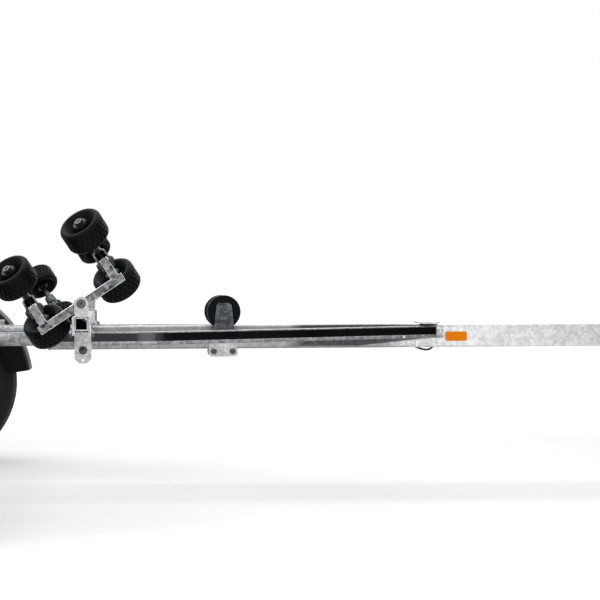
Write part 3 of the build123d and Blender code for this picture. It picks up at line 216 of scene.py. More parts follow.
both = node(tree, "ShaderNodeMixShader", {0: seen_rays(tree), 1: plain.outputs[0], 2: pale.outputs[0]})
node(tree, "ShaderNodeOutputMaterial", {"Surface": both.outputs[0]})
floor.data.materials.append(floor_material)
print("floor glow", GLOW_NEAR, "to", GLOW_FAR)

# %% Background and lamps
world = bpy.data.worlds.new("studio")
bpy.context.scene.world = world
world.use_nodes = True
tree = world.node_tree
tree.nodes.clear()
soft = node(tree, "ShaderNodeBackground", in_Color=linear("#ffffff"), in_Strength=0.32)
bright = node(tree, "ShaderNodeBackground", in_Color=linear("#ffffff"), in_Strength=1.0)
both = node(tree, "ShaderNodeMixShader", {0: seen_rays(tree), 1: soft.outputs[0], 2: bright.outputs[0]})
node(tree, "ShaderNodeOutputWorld", {"Surface": both.outputs[0]})

LAMPS = (
    # name, place, aim, width, depth, watts
    ("window_lamp", (1.95, -4.6, 0.43), (0.24, -0.6, 0.545), 1.7, 0.34, 7),
    ("top_panel", (0.3, 0.3, 3.6), (0.3, 0, 0.5), 7.0, 3.0, 130),
    ("front_panel", (-1.6, -4.2, 2.6), (0.2, 0, 0.5), 3.0, 1.6, 45),
    ("back_panel", (1.2, 4.5, 2.4), (0.2, 0, 0.5), 5.0, 1.6, 60),
)
for name, place, aim, width, depth, watts in LAMPS:
    lamp_data = bpy.data.lights.new(name, "AREA")
    lamp_data.shape = "RECTANGLE"
    lamp_data.size = width
    lamp_data.size_y = depth
    lamp_data.energy = watts
    lamp = bpy.data.objects.new(name, lamp_data)
    lamp.location = place
    lamp.rotation_euler = (Vector(aim) - Vector(place)).to_track_quat("-Z", "Y").to_euler()
    bpy.context.scene.collection.objects.link(lamp)
print("lamps", len(LAMPS))

# %% [markdown]
# Metal and gloss film only look right when there is something dark for them to reflect. A
# black card stands out of sight, ahead of the trailer. Only reflections see it, so it draws
# the dark part of the film on the bent rail and casts no shadow.

# %% Black card for the reflections
card_material, tree = new_material("black_card")
lit = node(tree, "ShaderNodeBsdfDiffuse", in_Color=linear("#060606"))
node(tree, "ShaderNodeOutputMaterial", {"Surface": lit.outputs[0]})
CARD_MIDDLE = (6.2, -3.3, 0.7)
CARD_HALF_RUN, CARD_HALF_HEIGHT = 3.3, 1.0
bm = bmesh.new()
bmesh.ops.create_grid(bm, x_segments=1, y_segments=1, size=1)
bmesh.ops.scale(bm, vec=(CARD_HALF_RUN, CARD_HALF_HEIGHT, 1), verts=bm.verts)
for axis in "XZ":
    bmesh.ops.rotate(bm, cent=(0, 0, 0), matrix=Matrix.Rotation(QUARTER_TURN, 3, axis), verts=bm.verts)
bmesh.ops.translate(bm, vec=CARD_MIDDLE, verts=bm.verts)
card = bpy.data.objects.new("card_ahead", mesh_of(bm, "card_ahead"))
card.data.materials.append(card_material)
bpy.context.scene.collection.objects.link(card)
card.visible_camera = False
card.visible_diffuse = False
card.visible_shadow = False
card.visible_transmission = False
card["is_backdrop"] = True
print("card at", CARD_MIDDLE)

# %% [markdown]
# The frame is hot-dip galvanised: steel tube dipped in molten zinc. The zinc freezes in flat
# crystals of five to fifteen millimetres, which turn the light each a little differently, with
# pale runs where it drained. A cell pattern gives the crystals and a soft noise the runs. Both
# change the grey and the roughness, and the metal itself stays one plain metal.

# %% Galvanised steel
GRAIN_MM = 1.6
RUN_SHARE, GRAIN_SHARE = 0.62, 0.12


def banded(tree, place, start, rows):
    """A value that changes along directions, one row at a time, by a maths operation."""
    value = start
    for operation, direction, low, high, at_low, at_high in rows:
        along = node(
            tree, "ShaderNodeVectorMath", {0: place.outputs["Object"]}, operation="DOT_PRODUCT",
            in_1=direction,
        )
        band = node(
            tree, "ShaderNodeMapRange", {"Value": along.outputs["Value"]}, in_From_Min=low, in_From_Max=high,
            in_To_Min=at_low, in_To_Max=at_high,
        )
        value = node(tree, "ShaderNodeMath", {0: value, 1: band.outputs[0]}, operation=operation).outputs[0]
    return value


def cell_metal(name, dark, light, cell_mm, run_mm, rough, bump_mm, dull=(), matt=()):
    """Zinc-coated steel: crystals of one size, longer runs over them, and a fine grain.

    The rows of dull paint light and shade into the colour, darker or paler, and those of matt say where it
    is rougher.
    """
    material, tree = new_material(name)
    place = node(tree, "ShaderNodeTexCoord")
    cells = node(
        tree, "ShaderNodeTexVoronoi", {"Vector": place.outputs["Object"]}, in_Scale=1 / (cell_mm * MM),
        in_Randomness=1.0,
    )
    spangle = node(tree, "ShaderNodeSeparateColor", {"Color": cells.outputs["Color"]})
    runs = node(
        tree, "ShaderNodeTexNoise", {"Vector": place.outputs["Object"]}, in_Scale=1 / (run_mm * MM),
        in_Detail=5.0, in_Roughness=0.6, in_Distortion=0.6,
    )
    grain = node(
        tree, "ShaderNodeTexNoise", {"Vector": place.outputs["Object"]}, in_Scale=1 / (GRAIN_MM * MM),
        in_Detail=3.0,
    )
    share = node(
        tree, "ShaderNodeMix", {2: spangle.outputs[0], 3: runs.outputs["Fac"]}, data_type="FLOAT",
        in_0=RUN_SHARE,
    )
    spread = node(
        tree, "ShaderNodeMapRange", {"Value": share.outputs[0]}, in_From_Min=0.26, in_From_Max=0.72,
    )
    colour = node(
        tree, "ShaderNodeMix", {"Factor": spread.outputs[0]}, data_type="RGBA", in_6=linear(dark),
        in_7=linear(light),
    )
    tone = colour.outputs[2]
    # Painted light and shade: these rows make the colour darker or paler along directions.
    if dull:
        no_painted_light = node(tree, "ShaderNodeValue")
        no_painted_light.outputs[0].default_value = 1.0
        painted_light_factor = banded(tree, place, no_painted_light.outputs[0], dull)
        tone = node(
            tree, "ShaderNodeMix", {6: tone, 7: painted_light_factor}, data_type="RGBA", blend_type="MULTIPLY", in_0=1.0
        ).outputs[2]
    gloss = node(
        tree, "ShaderNodeMapRange", {"Value": spangle.outputs[1]}, in_To_Min=rough[0], in_To_Max=rough[1]
    )
    gloss = banded(tree, place, gloss.outputs[0], matt)
    relief = node(
        tree, "ShaderNodeMix", {2: runs.outputs["Fac"], 3: grain.outputs["Fac"]}, data_type="FLOAT",
        in_0=GRAIN_SHARE,
    )
    bump = node(
        tree, "ShaderNodeBump", {"Height": relief.outputs[0]}, in_Strength=0.5, in_Distance=bump_mm * MM
    )
    surface = node(
        tree, "ShaderNodeBsdfPrincipled",
        {"Base Color": tone, "Roughness": gloss, "Normal": bump.outputs[0]},
        in_Metallic=1.0,
    )
    node(tree, "ShaderNodeOutputMaterial", {"Surface": surface.outputs[0]})
    return material


# In the rows below: an operation, a direction, two places along it and the values at both.
# The rail has painted shade on its top and its low corner, which are darker. Ahead of the film its colour is
# painted paler, as painted light, and it is matt. The drawbar is a lighter copy of the galvanised steel, as
# painted light. The near rail's shadow is painted on both sides of it, behind the rail, and ends along a
# slanting line. It is also painted darker towards the rear.
CELL_MM, RUN_MM = 9, 42
RAIL_END = 1.23
X, Z = (1, 0, 0), (0, 0, 1)
BACKWARD, DOWN = (-1, 0, 0), (0, 0, -1)
SHADE_LINE = (-0.103, 0, 1)
galvanised = cell_metal(
    "hot_dip_galvanised_steel", "#76787a", "#b8babc", CELL_MM, RUN_MM, (0.28, 0.44), 0.06
)
rail_zinc_painted_light = cell_metal(
    "hot_dip_galvanised_rail", "#76787a", "#b8babc", CELL_MM, RUN_MM, (0.28, 0.44), 0.06,
    dull=(
        ("MULTIPLY", Z, 0.557, 0.560, 1.0, 0.55),
        ("MULTIPLY", Z, 0.521, 0.531, 0.6, 1.0),
        ("MULTIPLY", X, RAIL_END, RAIL_END + 8 * MM, 1.0, 2.0),
    ),
    matt=(("ADD", X, RAIL_END, RAIL_END + 8 * MM, 0.0, 0.5),),
)
# Painted light: a lighter copy of the galvanised colours, with the painted rail shadow in its rows.
drawbar_zinc_painted_light = cell_metal(
    "hot_dip_galvanised_drawbar", "#c4c6c7", "#e8eaea", CELL_MM, RUN_MM, (0.28, 0.44), 0.05,
    dull=(
        ("MULTIPLY", SHADE_LINE, 0.393, 0.3975, 1.0, 0.2),
        ("MAXIMUM", DOWN, -0.499, -0.492, 0.0, 1.0),
        ("MAXIMUM", Z, 0.5655, 0.5675, 0.0, 1.0),
        ("MAXIMUM", BACKWARD, -0.8, -0.72, 0.0, 1.0),
        ("MAXIMUM", X, 1.2, 1.24, 0.0, 1.0),
        ("MULTIPLY", X, 1.06, 1.16, 0.42, 0.88),
        ("MAXIMUM", X, 1.2, 1.3, 0.0, 1.0),
    ),
)
galvanised_plate = cell_metal("hot_dip_galvanised_plate", "#989a9c", "#c2c4c6", 8, 60, (0.3, 0.4), 0.03)
galvanised_rocker = cell_metal("hot_dip_galvanised_rocker", "#2e3032", "#9a9c9e", 12, 34, (0.26, 0.4), 0.06)
dark_plate = cell_metal("hot_dip_galvanised_dark_plate", "#3a3c3e", "#66686a", 12, 40, (0.26, 0.4), 0.05)
# A pale zinc for bevelled edges and rivets, a painted highlight.
painted_highlight_zinc = cell_metal("zinc_edge_painted_highlight", "#dcdedf", "#f4f5f5", 8, 26, (0.2, 0.3), 0.02)
print("galvanised crystals", CELL_MM, "mm")

# %% [markdown]
# Bolts, nuts, the winch and the jockey wheel are zinc plated. The plating is thin and even, so
# it keeps the fine scratches of the steel under it and shines more than the dipped tubes.

# %% Zinc-plated steel
zinc_plated = cell_metal("zinc_plated_steel", "#85878a", "#b9bbbd", 4, 25, (0.2, 0.3), 0.02)
strap_zinc = cell_metal("zinc_plated_strap", "#2c2e30", "#5e6062", 4, 40, (0.25, 0.36), 0.02)
dull_zinc = cell_metal("dull_zinc_nuts", "#1c1d1e", "#434546", 4, 25, (0.35, 0.5), 0.02)
print("zinc plate ready")

# %% [markdown]
# Rubber, moulded plastic and film are all black here, and what tells them apart is their gloss and their
# grain. The rollers are dense moulded rubber with a soft sheen, the tyres are duller and dustier, and the
# mudguards are ribbed ABS with a leather-like grain.

# %% Black rubbers and plastics
def grained(name, dark, light, grain_mm, patch_mm, rough, bump_mm, coat=0.0, ior=1.45):
    """Moulded rubber or plastic: a fine grain, and broad patches of another shade and gloss."""
    material, tree = new_material(name)
    place = node(tree, "ShaderNodeTexCoord")
    grain = node(
        tree, "ShaderNodeTexNoise", {"Vector": place.outputs["Object"]}, in_Scale=1 / (grain_mm * MM),
        in_Detail=4.0,
    )
    patches = node(
        tree, "ShaderNodeTexNoise", {"Vector": place.outputs["Object"]}, in_Scale=1 / (patch_mm * MM),
        in_Detail=4.0, in_Roughness=0.6,
    )
    spread = node(
        tree, "ShaderNodeMapRange", {"Value": patches.outputs["Fac"]}, in_From_Min=0.35, in_From_Max=0.68
    )
    colour = node(
        tree, "ShaderNodeMix", {"Factor": spread.outputs[0]}, data_type="RGBA", in_6=linear(dark),
        in_7=linear(light),
    )
    gloss = node(
        tree, "ShaderNodeMapRange", {"Value": patches.outputs["Fac"]}, in_From_Min=0.3, in_From_Max=0.7,
        in_To_Min=rough[0], in_To_Max=rough[1],
    )
    bump = node(
        tree, "ShaderNodeBump", {"Height": grain.outputs["Fac"]}, in_Strength=0.6, in_Distance=bump_mm * MM
    )
    surface = node(
        tree, "ShaderNodeBsdfPrincipled",
        {"Base Color": colour.outputs[2], "Roughness": gloss.outputs[0], "Normal": bump.outputs[0]},
        in_IOR=ior, in_Coat_Weight=coat, in_Coat_Roughness=0.08,
    )
    node(tree, "ShaderNodeOutputMaterial", {"Surface": surface.outputs[0]})
    return material


FINISHES = {
    "roller_rubber": grained(
        "moulded_roller_rubber", "#080808", "#121212", 1.6, 30, (0.42, 0.56), 0.08, ior=1.17
    ),
    "tyre_rubber": grained("tyre_rubber", "#0f0f0f", "#1b1b1a", 1.2, 60, (0.5, 0.7), 0.15, ior=1.3),
    "mudguard_plastic": grained(
        "grained_mudguard_abs", "#070708", "#0f0f10", 1.0, 90, (0.42, 0.55), 0.15, ior=1.2
    ),
    "black_plastic": grained("moulded_black_abs", "#121213", "#202021", 1.2, 45, (0.35, 0.5), 0.1),
    "cable_jacket": grained("pvc_cable_jacket", "#101010", "#1c1c1c", 0.8, 20, (0.4, 0.5), 0.05),
    "galvanised_steel": galvanised,
    "zinc_plated_fittings": zinc_plated,
}
print("finishes", sorted(FINISHES))

# %% [markdown]
# The wheels are pressed steel painted silver, the winch webbing is woven polyester, and the lamps and
# reflectors are clear acrylic coloured through, with prisms moulded in the back. The prisms show as a fine
# grid under the smooth face. The amber reflector is also given a faint glow of its own colour, which is
# painted light.

# %% Wheel paint, webbing and lenses
PAINT_METALLIC = 0.7
wheel_paint = grained("silver_wheel_paint", "#8f9194", "#b3b5b7", 0.8, 70, (0.28, 0.4), 0.05, 0.4)
wheel_paint.node_tree.nodes["Principled BSDF"].inputs["Metallic"].default_value = PAINT_METALLIC
FINISHES["wheel_steel"] = wheel_paint


def lens(name, deep, bright_code, pitch_mm, ior, glow):
    """Coloured acrylic over a grid of small prisms, with a painted glow of the given strength."""
    material, tree = new_material(name)
    place = node(tree, "ShaderNodeTexCoord")
    prisms = node(
        tree, "ShaderNodeTexVoronoi", {"Vector": place.outputs["Object"]}, in_Scale=1 / (pitch_mm * MM),
        in_Randomness=0.0, feature="F1", distance="CHEBYCHEV",
    )
    spread = node(
        tree, "ShaderNodeMapRange", {"Value": prisms.outputs["Distance"]}, in_From_Min=0.1, in_From_Max=0.5
    )
    colour = node(
        tree, "ShaderNodeMix", {"Factor": spread.outputs[0]}, data_type="RGBA", in_6=linear(bright_code),
        in_7=linear(deep),
    )
    surface = node(
        tree, "ShaderNodeBsdfPrincipled",
        {"Base Color": colour.outputs[2], "Emission Color": colour.outputs[2]},
        in_Roughness=0.3, in_IOR=ior, in_Emission_Strength=glow,
    )
    node(tree, "ShaderNodeOutputMaterial", {"Surface": surface.outputs[0]})
    return material


FINISHES["lens_red"] = lens("red_acrylic_lens", "#8a0f0c", "#b81c14", 4, 1.3, 0.0)
# The amber reflector gets a painted glow: it is no lamp.
FINISHES["reflector_amber"] = lens("amber_acrylic_reflector", "#dc6c00", "#f48e06", 3, 1.15, 0.3)

THREAD_MM = 2.2
RADIANS_A_WAVE = 6.28
webbing, tree = new_material("woven_polyester_webbing")
place = node(tree, "ShaderNodeTexCoord")
weave = node(
    tree, "ShaderNodeTexWave", {"Vector": place.outputs["Object"]},
    in_Scale=1 / (THREAD_MM * MM) / RADIANS_A_WAVE, in_Distortion=1.5, bands_direction="Y",
)
colour = node(
    tree, "ShaderNodeMix", {"Factor": weave.outputs["Fac"]}, data_type="RGBA", in_6=linear("#23262b"),
    in_7=linear("#3b4048"),
)
bump = node(tree, "ShaderNodeBump", {"Height": weave.outputs["Fac"]}, in_Strength=0.8, in_Distance=0.4 * MM)
surface = node(
    tree, "ShaderNodeBsdfPrincipled", {"Base Color": colour.outputs[2], "Normal": bump.outputs[0]},
    in_Roughness=0.85,
)
node(tree, "ShaderNodeOutputMaterial", {"Surface": surface.outputs[0]})
FINISHES["winch_webbing"] = webbing
cable.data.materials.append(FINISHES["cable_jacket"])
print("finishes", len(FINISHES))

# %% [markdown]
# Every CAD node keeps its shape and takes the finish its record names. Nodes that are dressed
# further below are replaced by a copy with softened edges.

# %% Finish of every node
SLOT_OF = {row["node"]: row["material_slot"] for row in frame["record"]["subparts"]}
BODY_OF = {name: body for body, names in frame["record"]["behaviour"]["bodies"].items() for name in names}
for name, slot_name in SLOT_OF.items():
    for material_slot in frame["nodes"][name].material_slots:
        material_slot.material = FINISHES[slot_name]
print("nodes with a finish", len(SLOT_OF))

# %% [markdown]
# Tubes and plates in CAD have knife edges, and real ones never do: the dip leaves a rounded lip that catches
# a thin bright line. A copy of each node is merged, its flat faces are joined, and its sharp edges get a
# small bevel. On many of the galvanised pieces the bevel is given a pale zinc, a painted highlight. The copy
# stands in for the node.

# %% Softened copies of the CAD nodes
MERGE_MM = 0.02
FLAT_DEGREES = 0.6
SHARP_DEGREES = 50
NARROW_MM, GENTLE_DEGREES = 14, 12
LIP_SHARP = 52


def finished(mesh, name, material, body, sharp=30, edge=None, shaded=False):
    """Makes the piece's object. Unless its faces are shaded already, all are made smooth."""
    mesh.materials.append(material)
    if edge:
        mesh.materials.append(edge)
    smooth = [face.use_smooth or not shaded for face in mesh.polygons]
    mesh.set_sharp_from_angle(angle=math.radians(sharp))
    for face, is_smooth in zip(mesh.polygons, smooth):
        face.use_smooth = is_smooth
    made = bpy.data.objects.new(name, mesh)
    bpy.context.scene.collection.objects.link(made)
    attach(made, body)
    return made


def softened(node_name, width_mm, material=None, edge=None):
    """A merged copy of a CAD node with rounded edges, which replaces it."""
    bm = bmesh.new()
    bm.from_mesh(frame["nodes"][node_name].data)
    bmesh.ops.remove_doubles(bm, verts=bm.verts, dist=MERGE_MM * MM)
    bmesh.ops.dissolve_limit(
        bm, angle_limit=math.radians(FLAT_DEGREES), verts=bm.verts, edges=bm.edges,
        use_dissolve_boundaries=False,
    )
    edges = [
        e for e in bm.edges
        if len(e.link_faces) == 2 and e.calc_face_angle(0) > math.radians(SHARP_DEGREES)
        and e.calc_length() > 2 * width_mm * MM
    ]
    rounded = bmesh.ops.bevel(
        bm, geom=edges, offset=width_mm * MM, offset_type="OFFSET", segments=2, profile=0.5,
        affect="EDGES", clamp_overlap=True, material=-1, loop_slide=True,
    )
    lips = set(rounded["faces"])
    for face in bm.faces:
        near = [
            math.degrees(e.calc_face_angle(0)) for e in face.edges
            if len(e.link_faces) == 2 and not lips.intersection(e.link_faces)
        ]
        narrow = 2 * face.calc_area() / face.calc_perimeter() < NARROW_MM * MM
        steepest = SHARP_DEGREES if narrow else GENTLE_DEGREES
        face.smooth = face in lips or any(1 < angle < steepest for angle in near)
        if edge and face in lips:
            face.material_index = 1
    name = node_name + "_dressed"
    slot_name = SLOT_OF[node_name]
    made = finished(
        mesh_of(bm, name), name, material or FINISHES[slot_name], BODY_OF[node_name], LIP_SHARP,
        edge, True,
    )
    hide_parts(node_name)
    return made


# Pieces with these finishes get the pale painted highlight on their bevelled edges.
EDGED = (galvanised, drawbar_zinc_painted_light, galvanised_plate, dark_plate)
SOFT_EDGES = (
    # node, radius in millimetres, finish
    ("drawbar", 1.5, drawbar_zinc_painted_light),
    ("side_rails", 1.5, rail_zinc_painted_light),
    ("cross_members", 1.5, galvanised),
    ("cradle_beams", 2.2, galvanised),
    ("beam_hangers", 1.2, galvanised_plate),
    ("cradle_carriers", 1.6, galvanised_plate),
    ("keel_brackets", 1.8, dark_plate),
    ("junction_plate", 1.2, galvanised_plate),
    ("axle_beam", 1.5, galvanised),
    ("trailing_arms", 2.0, galvanised),
    ("mudguard_stays", 1.0, galvanised),
    ("winch_post", 1.2, galvanised),
    ("winch_frame", 1.0, zinc_plated),
    ("light_bar", 1.2, galvanised),
    ("lamp_housings", 2.0, None),
    ("lamp_lenses", 1.5, None),
    ("side_reflectors", 1.2, None),
    ("bow_stop", 3.0, None),
    ("overrun_housing", 1.5, None),
    ("coupling_handle", 3.0, None),
    ("brake_lever", 1.2, None),
    ("jockey_clamp", 1.0, zinc_plated),
)
PLATE_TOP = 500 * MM
for node_name, radius, finish in SOFT_EDGES:
    made = softened(node_name, radius, finish, edge=painted_highlight_zinc if finish in EDGED else None)
    if node_name == "keel_brackets":
        made.data.materials.append(galvanised_plate)
        for face in made.data.polygons:
            if face.center.z < PLATE_TOP and face.material_index == 0:
                face.material_index = 2
    print(node_name, len(made.data.polygons))

# %% [markdown]
# A cradle roller is one moulding of hard rubber, dished on both faces and run on a bare axle.
# Its tread has three rows of short slots, each row set half a pitch from its neighbour. A
# turned section gives the body. The tread is a grid of faces, and every other face of a row
# is inset and pushed in, which is how the mould cuts its slots.

# %% Turned shapes
TURNED_MERGE_MM = 0.01


def turned(outline, steps, centre, axis, start):
    """A bmesh turned from an outline of (radius, place along the axis) pairs."""
    bm = bmesh.new()
    axis = Vector(axis).normalized()
    start = Vector(start).normalized()
    verts = [bm.verts.new(Vector(centre) + start * r * MM + axis * y * MM) for r, y in outline]
    edges = [bm.edges.new((a, b)) for a, b in zip(verts, verts[1:])]
    bmesh.ops.spin(
        bm, geom=verts + edges, cent=centre, axis=axis, dvec=(0, 0, 0), angle=2 * math.pi, steps=steps,
        use_merge=True, use_duplicate=False,
    )
    bmesh.ops.remove_doubles(bm, verts=bm.verts, dist=TURNED_MERGE_MM * MM)
    bmesh.ops.recalc_face_normals(bm, faces=bm.faces)
    return bm


def pressed_in(bm, faces, press):
    """Insets faces by a margin, then sinks them with a sloping wall. A press gives all three in mm."""
    margin_mm, wall_mm, depth_mm = press
    bmesh.ops.inset_individual(bm, faces=faces, thickness=margin_mm * MM, depth=0)
    bmesh.ops.inset_individual(bm, faces=faces, thickness=wall_mm * MM, depth=-depth_mm * MM)


# %% Roller with its slots
ROLLER_HALF = 36
ROLLER_SPACING = 205
TREAD_REACH = 65
ROW_NEAR = 2
SLOT_STEPS = 52
SLOT_PRESS = (1.3, 0.5, 2.6)
ROLLER_OUTLINE = (
    (11.05, -31), (21, -31), (23, -30), (28, -14), (32, -12.5), (48, -34), (51, -36),
    (56, -36), (60.5, -34.6), (63.5, -31.5), (66, -26), (66, -9), (66, 9), (66, 26),
    (63.5, 31.5), (60.5, 34.6), (56, 36), (51, 36), (48, 34), (32, 12.5), (28, 14),
    (23, 30), (21, 31), (11.05, 31), (11.05, -31),
)
SLOT_ROWS = ((-17.5, 0), (0, 1), (17.5, 0))


def slotted_roller(middle):
    """One roller about the origin's Y axis, its middle at a place along it."""
    bm = turned([(r, y + middle) for r, y in ROLLER_OUTLINE], SLOT_STEPS, (0, 0, 0), (0, 1, 0), (0, 0, 1))
    for row, shift in SLOT_ROWS:
        picked = []
        for face in bm.faces:
            centre = face.calc_center_median()
            reach = math.hypot(centre.x, centre.z)
            if reach > TREAD_REACH * MM and abs(centre.y - (middle + row) * MM) < ROW_NEAR * MM:
                turn = math.atan2(centre.x, centre.z) / (2 * math.pi) * SLOT_STEPS
                if math.floor(turn) % 2 == shift:
                    picked.append(face)
        pressed_in(bm, picked, SLOT_PRESS)
    return bm


print("slots a row", SLOT_STEPS // 2)

# %% Roller pairs on the straps
CRADLE_SETS = ((623, "front"), (-1900, "rear"))
SIDES = ((1, "left"), (-1, "right"))
ENDS = ((1, "fore"), (-1, "aft"))
ROCKER_LEAN, PAIR_TILT = math.radians(33), math.radians(57)
PIVOT_OUT, PIVOT_HEIGHT = 800, 650
STUB_REACH, STUB_RISE = 125, 60
PAIR_RISE = 48
ROLLER_SHARP = 35


def at(ahead, y, z):
    """A place from millimetres ahead of the axle, across and up."""
    return Vector((AXLE_X + ahead * MM, y * MM, z * MM))


def pair_frame(set_ahead, side, end):
    """Where a roller pair stands, from the cradle's sizes: its bolt, and the three directions."""
    along = Vector((math.cos(ROCKER_LEAN), 0, math.sin(ROCKER_LEAN)))
    upright = Vector((-math.sin(ROCKER_LEAN), 0, math.cos(ROCKER_LEAN)))
    pivot = at(set_ahead, side * PIVOT_OUT, PIVOT_HEIGHT)
    bolt = pivot + along * end * STUB_REACH * MM + upright * STUB_RISE * MM
    lifted = upright * math.cos(PAIR_TILT) - Vector((0, side * math.sin(PAIR_TILT), 0))
    across = lifted.cross(along)
    return bolt, along, across, lifted


def frame_matrix(place, along, across, lifted):
    """A matrix that carries X, Y and Z to three directions, about a place."""
    turn = Matrix((along, across, lifted)).transposed().to_4x4()
    return Matrix.Translation(place) @ turn


bm = bmesh.new()
for way in (1, -1):
    holder = mesh_of(slotted_roller(way * ROLLER_SPACING / 2), "roller_holder")
    bm.from_mesh(holder)
    bpy.data.meshes.remove(holder)
pair_mesh = mesh_of(bm, "roller_pair")
for ahead, set_name in CRADLE_SETS:
    for side, side_name in SIDES:
        for end, end_name in ENDS:
            key = f"{set_name}_{side_name}_{end_name}"
            bolt, along, across, lifted = pair_frame(ahead, side, end)
            mesh = pair_mesh.copy()
            mesh.transform(frame_matrix(bolt + lifted * PAIR_RISE * MM, along, across, lifted))
            made = finished(
                mesh, f"rollers_{key}", FINISHES["roller_rubber"], f"roller_pair_{key}",
                ROLLER_SHARP,
            )
            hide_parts(f"roller_pair_{key}")
print("faces of a roller pair", len(pair_mesh.polygons))

# %% [markdown]
# The folded straps and their light axles are dull zinc plate. The rockers are galvanised
# tube. Both keep the CAD shape with softened edges, and the strap's fold is smooth.

# %% Straps and rockers
ROCKER_EDGE, STRAP_EDGE = 2.4, 1.0
for ahead, set_name in CRADLE_SETS:
    for side, side_name in SIDES:
        # The rockers' bevelled edges take the pale zinc, a painted highlight.
        softened(f"rocker_{set_name}_{side_name}", ROCKER_EDGE, galvanised_rocker, edge=painted_highlight_zinc)
        for end, end_name in ENDS:
            softened(f"strap_{set_name}_{side_name}_{end_name}", STRAP_EDGE, strap_zinc)
print("straps and rockers softened")

# %% [markdown]
# The bolts are ordinary hexagon heads with washers. A six-sided prism with its top corners
# turned down is all a bolt head is, so one small helper makes each from a circle of six
# points, and a table says where they go.

# %% Hexagon bolts and washers
WASHER_SHARE, WASHER_WALL = 0.78, 1.6
CORNER_SHARE = 0.12
THREAD_FOOT, THREAD_TIP = 0.3, 0.27
TOP_SLACK = 0.1
BOLT_SHARP = 25


def bolt_head(bm, place, direction, across_mm, height_mm, thread_mm=0):
    """A hexagon head on a washer, standing on a face, with the thread's end showing if asked."""
    direction = Vector(direction).normalized()
    matrix = Matrix.Translation(place) @ direction.to_track_quat("Z", "Y").to_matrix().to_4x4()
    flat = across_mm / math.sqrt(3) * MM
    washer_radius = across_mm * WASHER_SHARE * MM
    bmesh.ops.create_cone(
        bm, cap_ends=True, segments=24, radius1=washer_radius, radius2=washer_radius,
        depth=WASHER_WALL * MM, matrix=matrix @ Matrix.Translation((0, 0, WASHER_WALL / 2 * MM)),
    )
    body = bmesh.ops.create_cone(
        bm, cap_ends=True, segments=6, radius1=flat, radius2=flat, depth=height_mm * MM,
        matrix=matrix @ Matrix.Translation((0, 0, (WASHER_WALL + height_mm / 2) * MM)),
    )
    top = [
        e for e in {e for v in body["verts"] for e in v.link_edges}
        if all((matrix.inverted() @ v.co).z > (WASHER_WALL - TOP_SLACK + height_mm) * MM for v in e.verts)
    ]
    bmesh.ops.bevel(
        bm, geom=top, offset=CORNER_SHARE * across_mm * MM, segments=2, profile=0.5, affect="EDGES",
        material=-1,
    )
    if thread_mm:
        bmesh.ops.create_cone(
            bm, cap_ends=True, segments=16, radius1=across_mm * THREAD_FOOT * MM,
            radius2=across_mm * THREAD_TIP * MM, depth=thread_mm * MM,
            matrix=matrix @ Matrix.Translation((0, 0, (WASHER_WALL + height_mm + thread_mm / 2) * MM)),
        )


def bolts(name, body, rows, material=zinc_plated):
    """One piece of bolts on one body, from rows of place, direction, size, height and thread."""
    bm = bmesh.new()
    for place, direction, across_mm, height_mm, thread_mm in rows:
        bolt_head(bm, Vector(place), direction, across_mm, height_mm, thread_mm)
    return finished(mesh_of(bm, name), name, material, body, BOLT_SHARP)


print("washer wall mm", WASHER_WALL)

# %% Bolts of the cradles and the keel brackets
# a size across flats, a height and how far the thread stands out
HANGER_HEAD, CARRIER_NUT, WHEEL_HEAD = (17, 7, 0), (17, 6, 4), (17, 9, 0)
CLAMP_NUT, KEEL_NUT, PIN_HEAD = (13, 6, 3), (13, 6, 5), (22, 7, 0)
HANGER_FACE, HANGER_BOLT_HEIGHT = 608, 507
CARRIER_FACE = 820.5
CLAMP_REACH, CLAMP_HEIGHT = 28.2, 559
KEEL_AHEAD, KEEL_BOLT_REACH = 1089, 32
KEEL_PLATE_FACE, KEEL_BOLT_HEIGHT = 49, 479
KEEL_CHEEK_FACE = 102
KEEL_PINS = ((KEEL_AHEAD, 614), (-2275, 629))

hanger_bolts, keel_bolts = [], []
for ahead, set_name in CRADLE_SETS:
    for side, side_name in SIDES:
        out = (0, side, 0)
        hanger_bolts.append((at(ahead, side * HANGER_FACE, HANGER_BOLT_HEIGHT), out, *HANGER_HEAD))
        hanger_bolts.append((at(ahead, side * CARRIER_FACE, PIVOT_HEIGHT), out, *CARRIER_NUT))
        for way in (1, -1):
            place = at(ahead + way * CLAMP_REACH, side * PIVOT_OUT, CLAMP_HEIGHT)
            hanger_bolts.append((place, (way, 0, 0), *CLAMP_NUT))
for way in (1, -1):
    for side, side_name in SIDES:
        place = at(KEEL_AHEAD + way * KEEL_BOLT_REACH, side * KEEL_PLATE_FACE, KEEL_BOLT_HEIGHT)
        keel_bolts.append((place, (0, side, 0), *KEEL_NUT))
for side, side_name in SIDES:
    for ahead, height in KEEL_PINS:
        keel_bolts.append((at(ahead, side * KEEL_CHEEK_FACE, height), (0, side, 0), *PIN_HEAD))
bolts("cradle_bolts", "frame", hanger_bolts, strap_zinc)
bolts("keel_bracket_nuts", "frame", keel_bolts, strap_zinc)
print("bolts", len(hanger_bolts) + len(keel_bolts))

# %% [markdown]
# Along the upper part of each rail's outer face runs a black gloss film, from behind the front
# cradle to just short of the junction. It is thin vinyl, so it follows the bend in the rail and
# ends in a clean vertical cut. It is bare here. A narrow band of faces is swept along the
# rail's outer line and given a third of a millimetre of thickness.

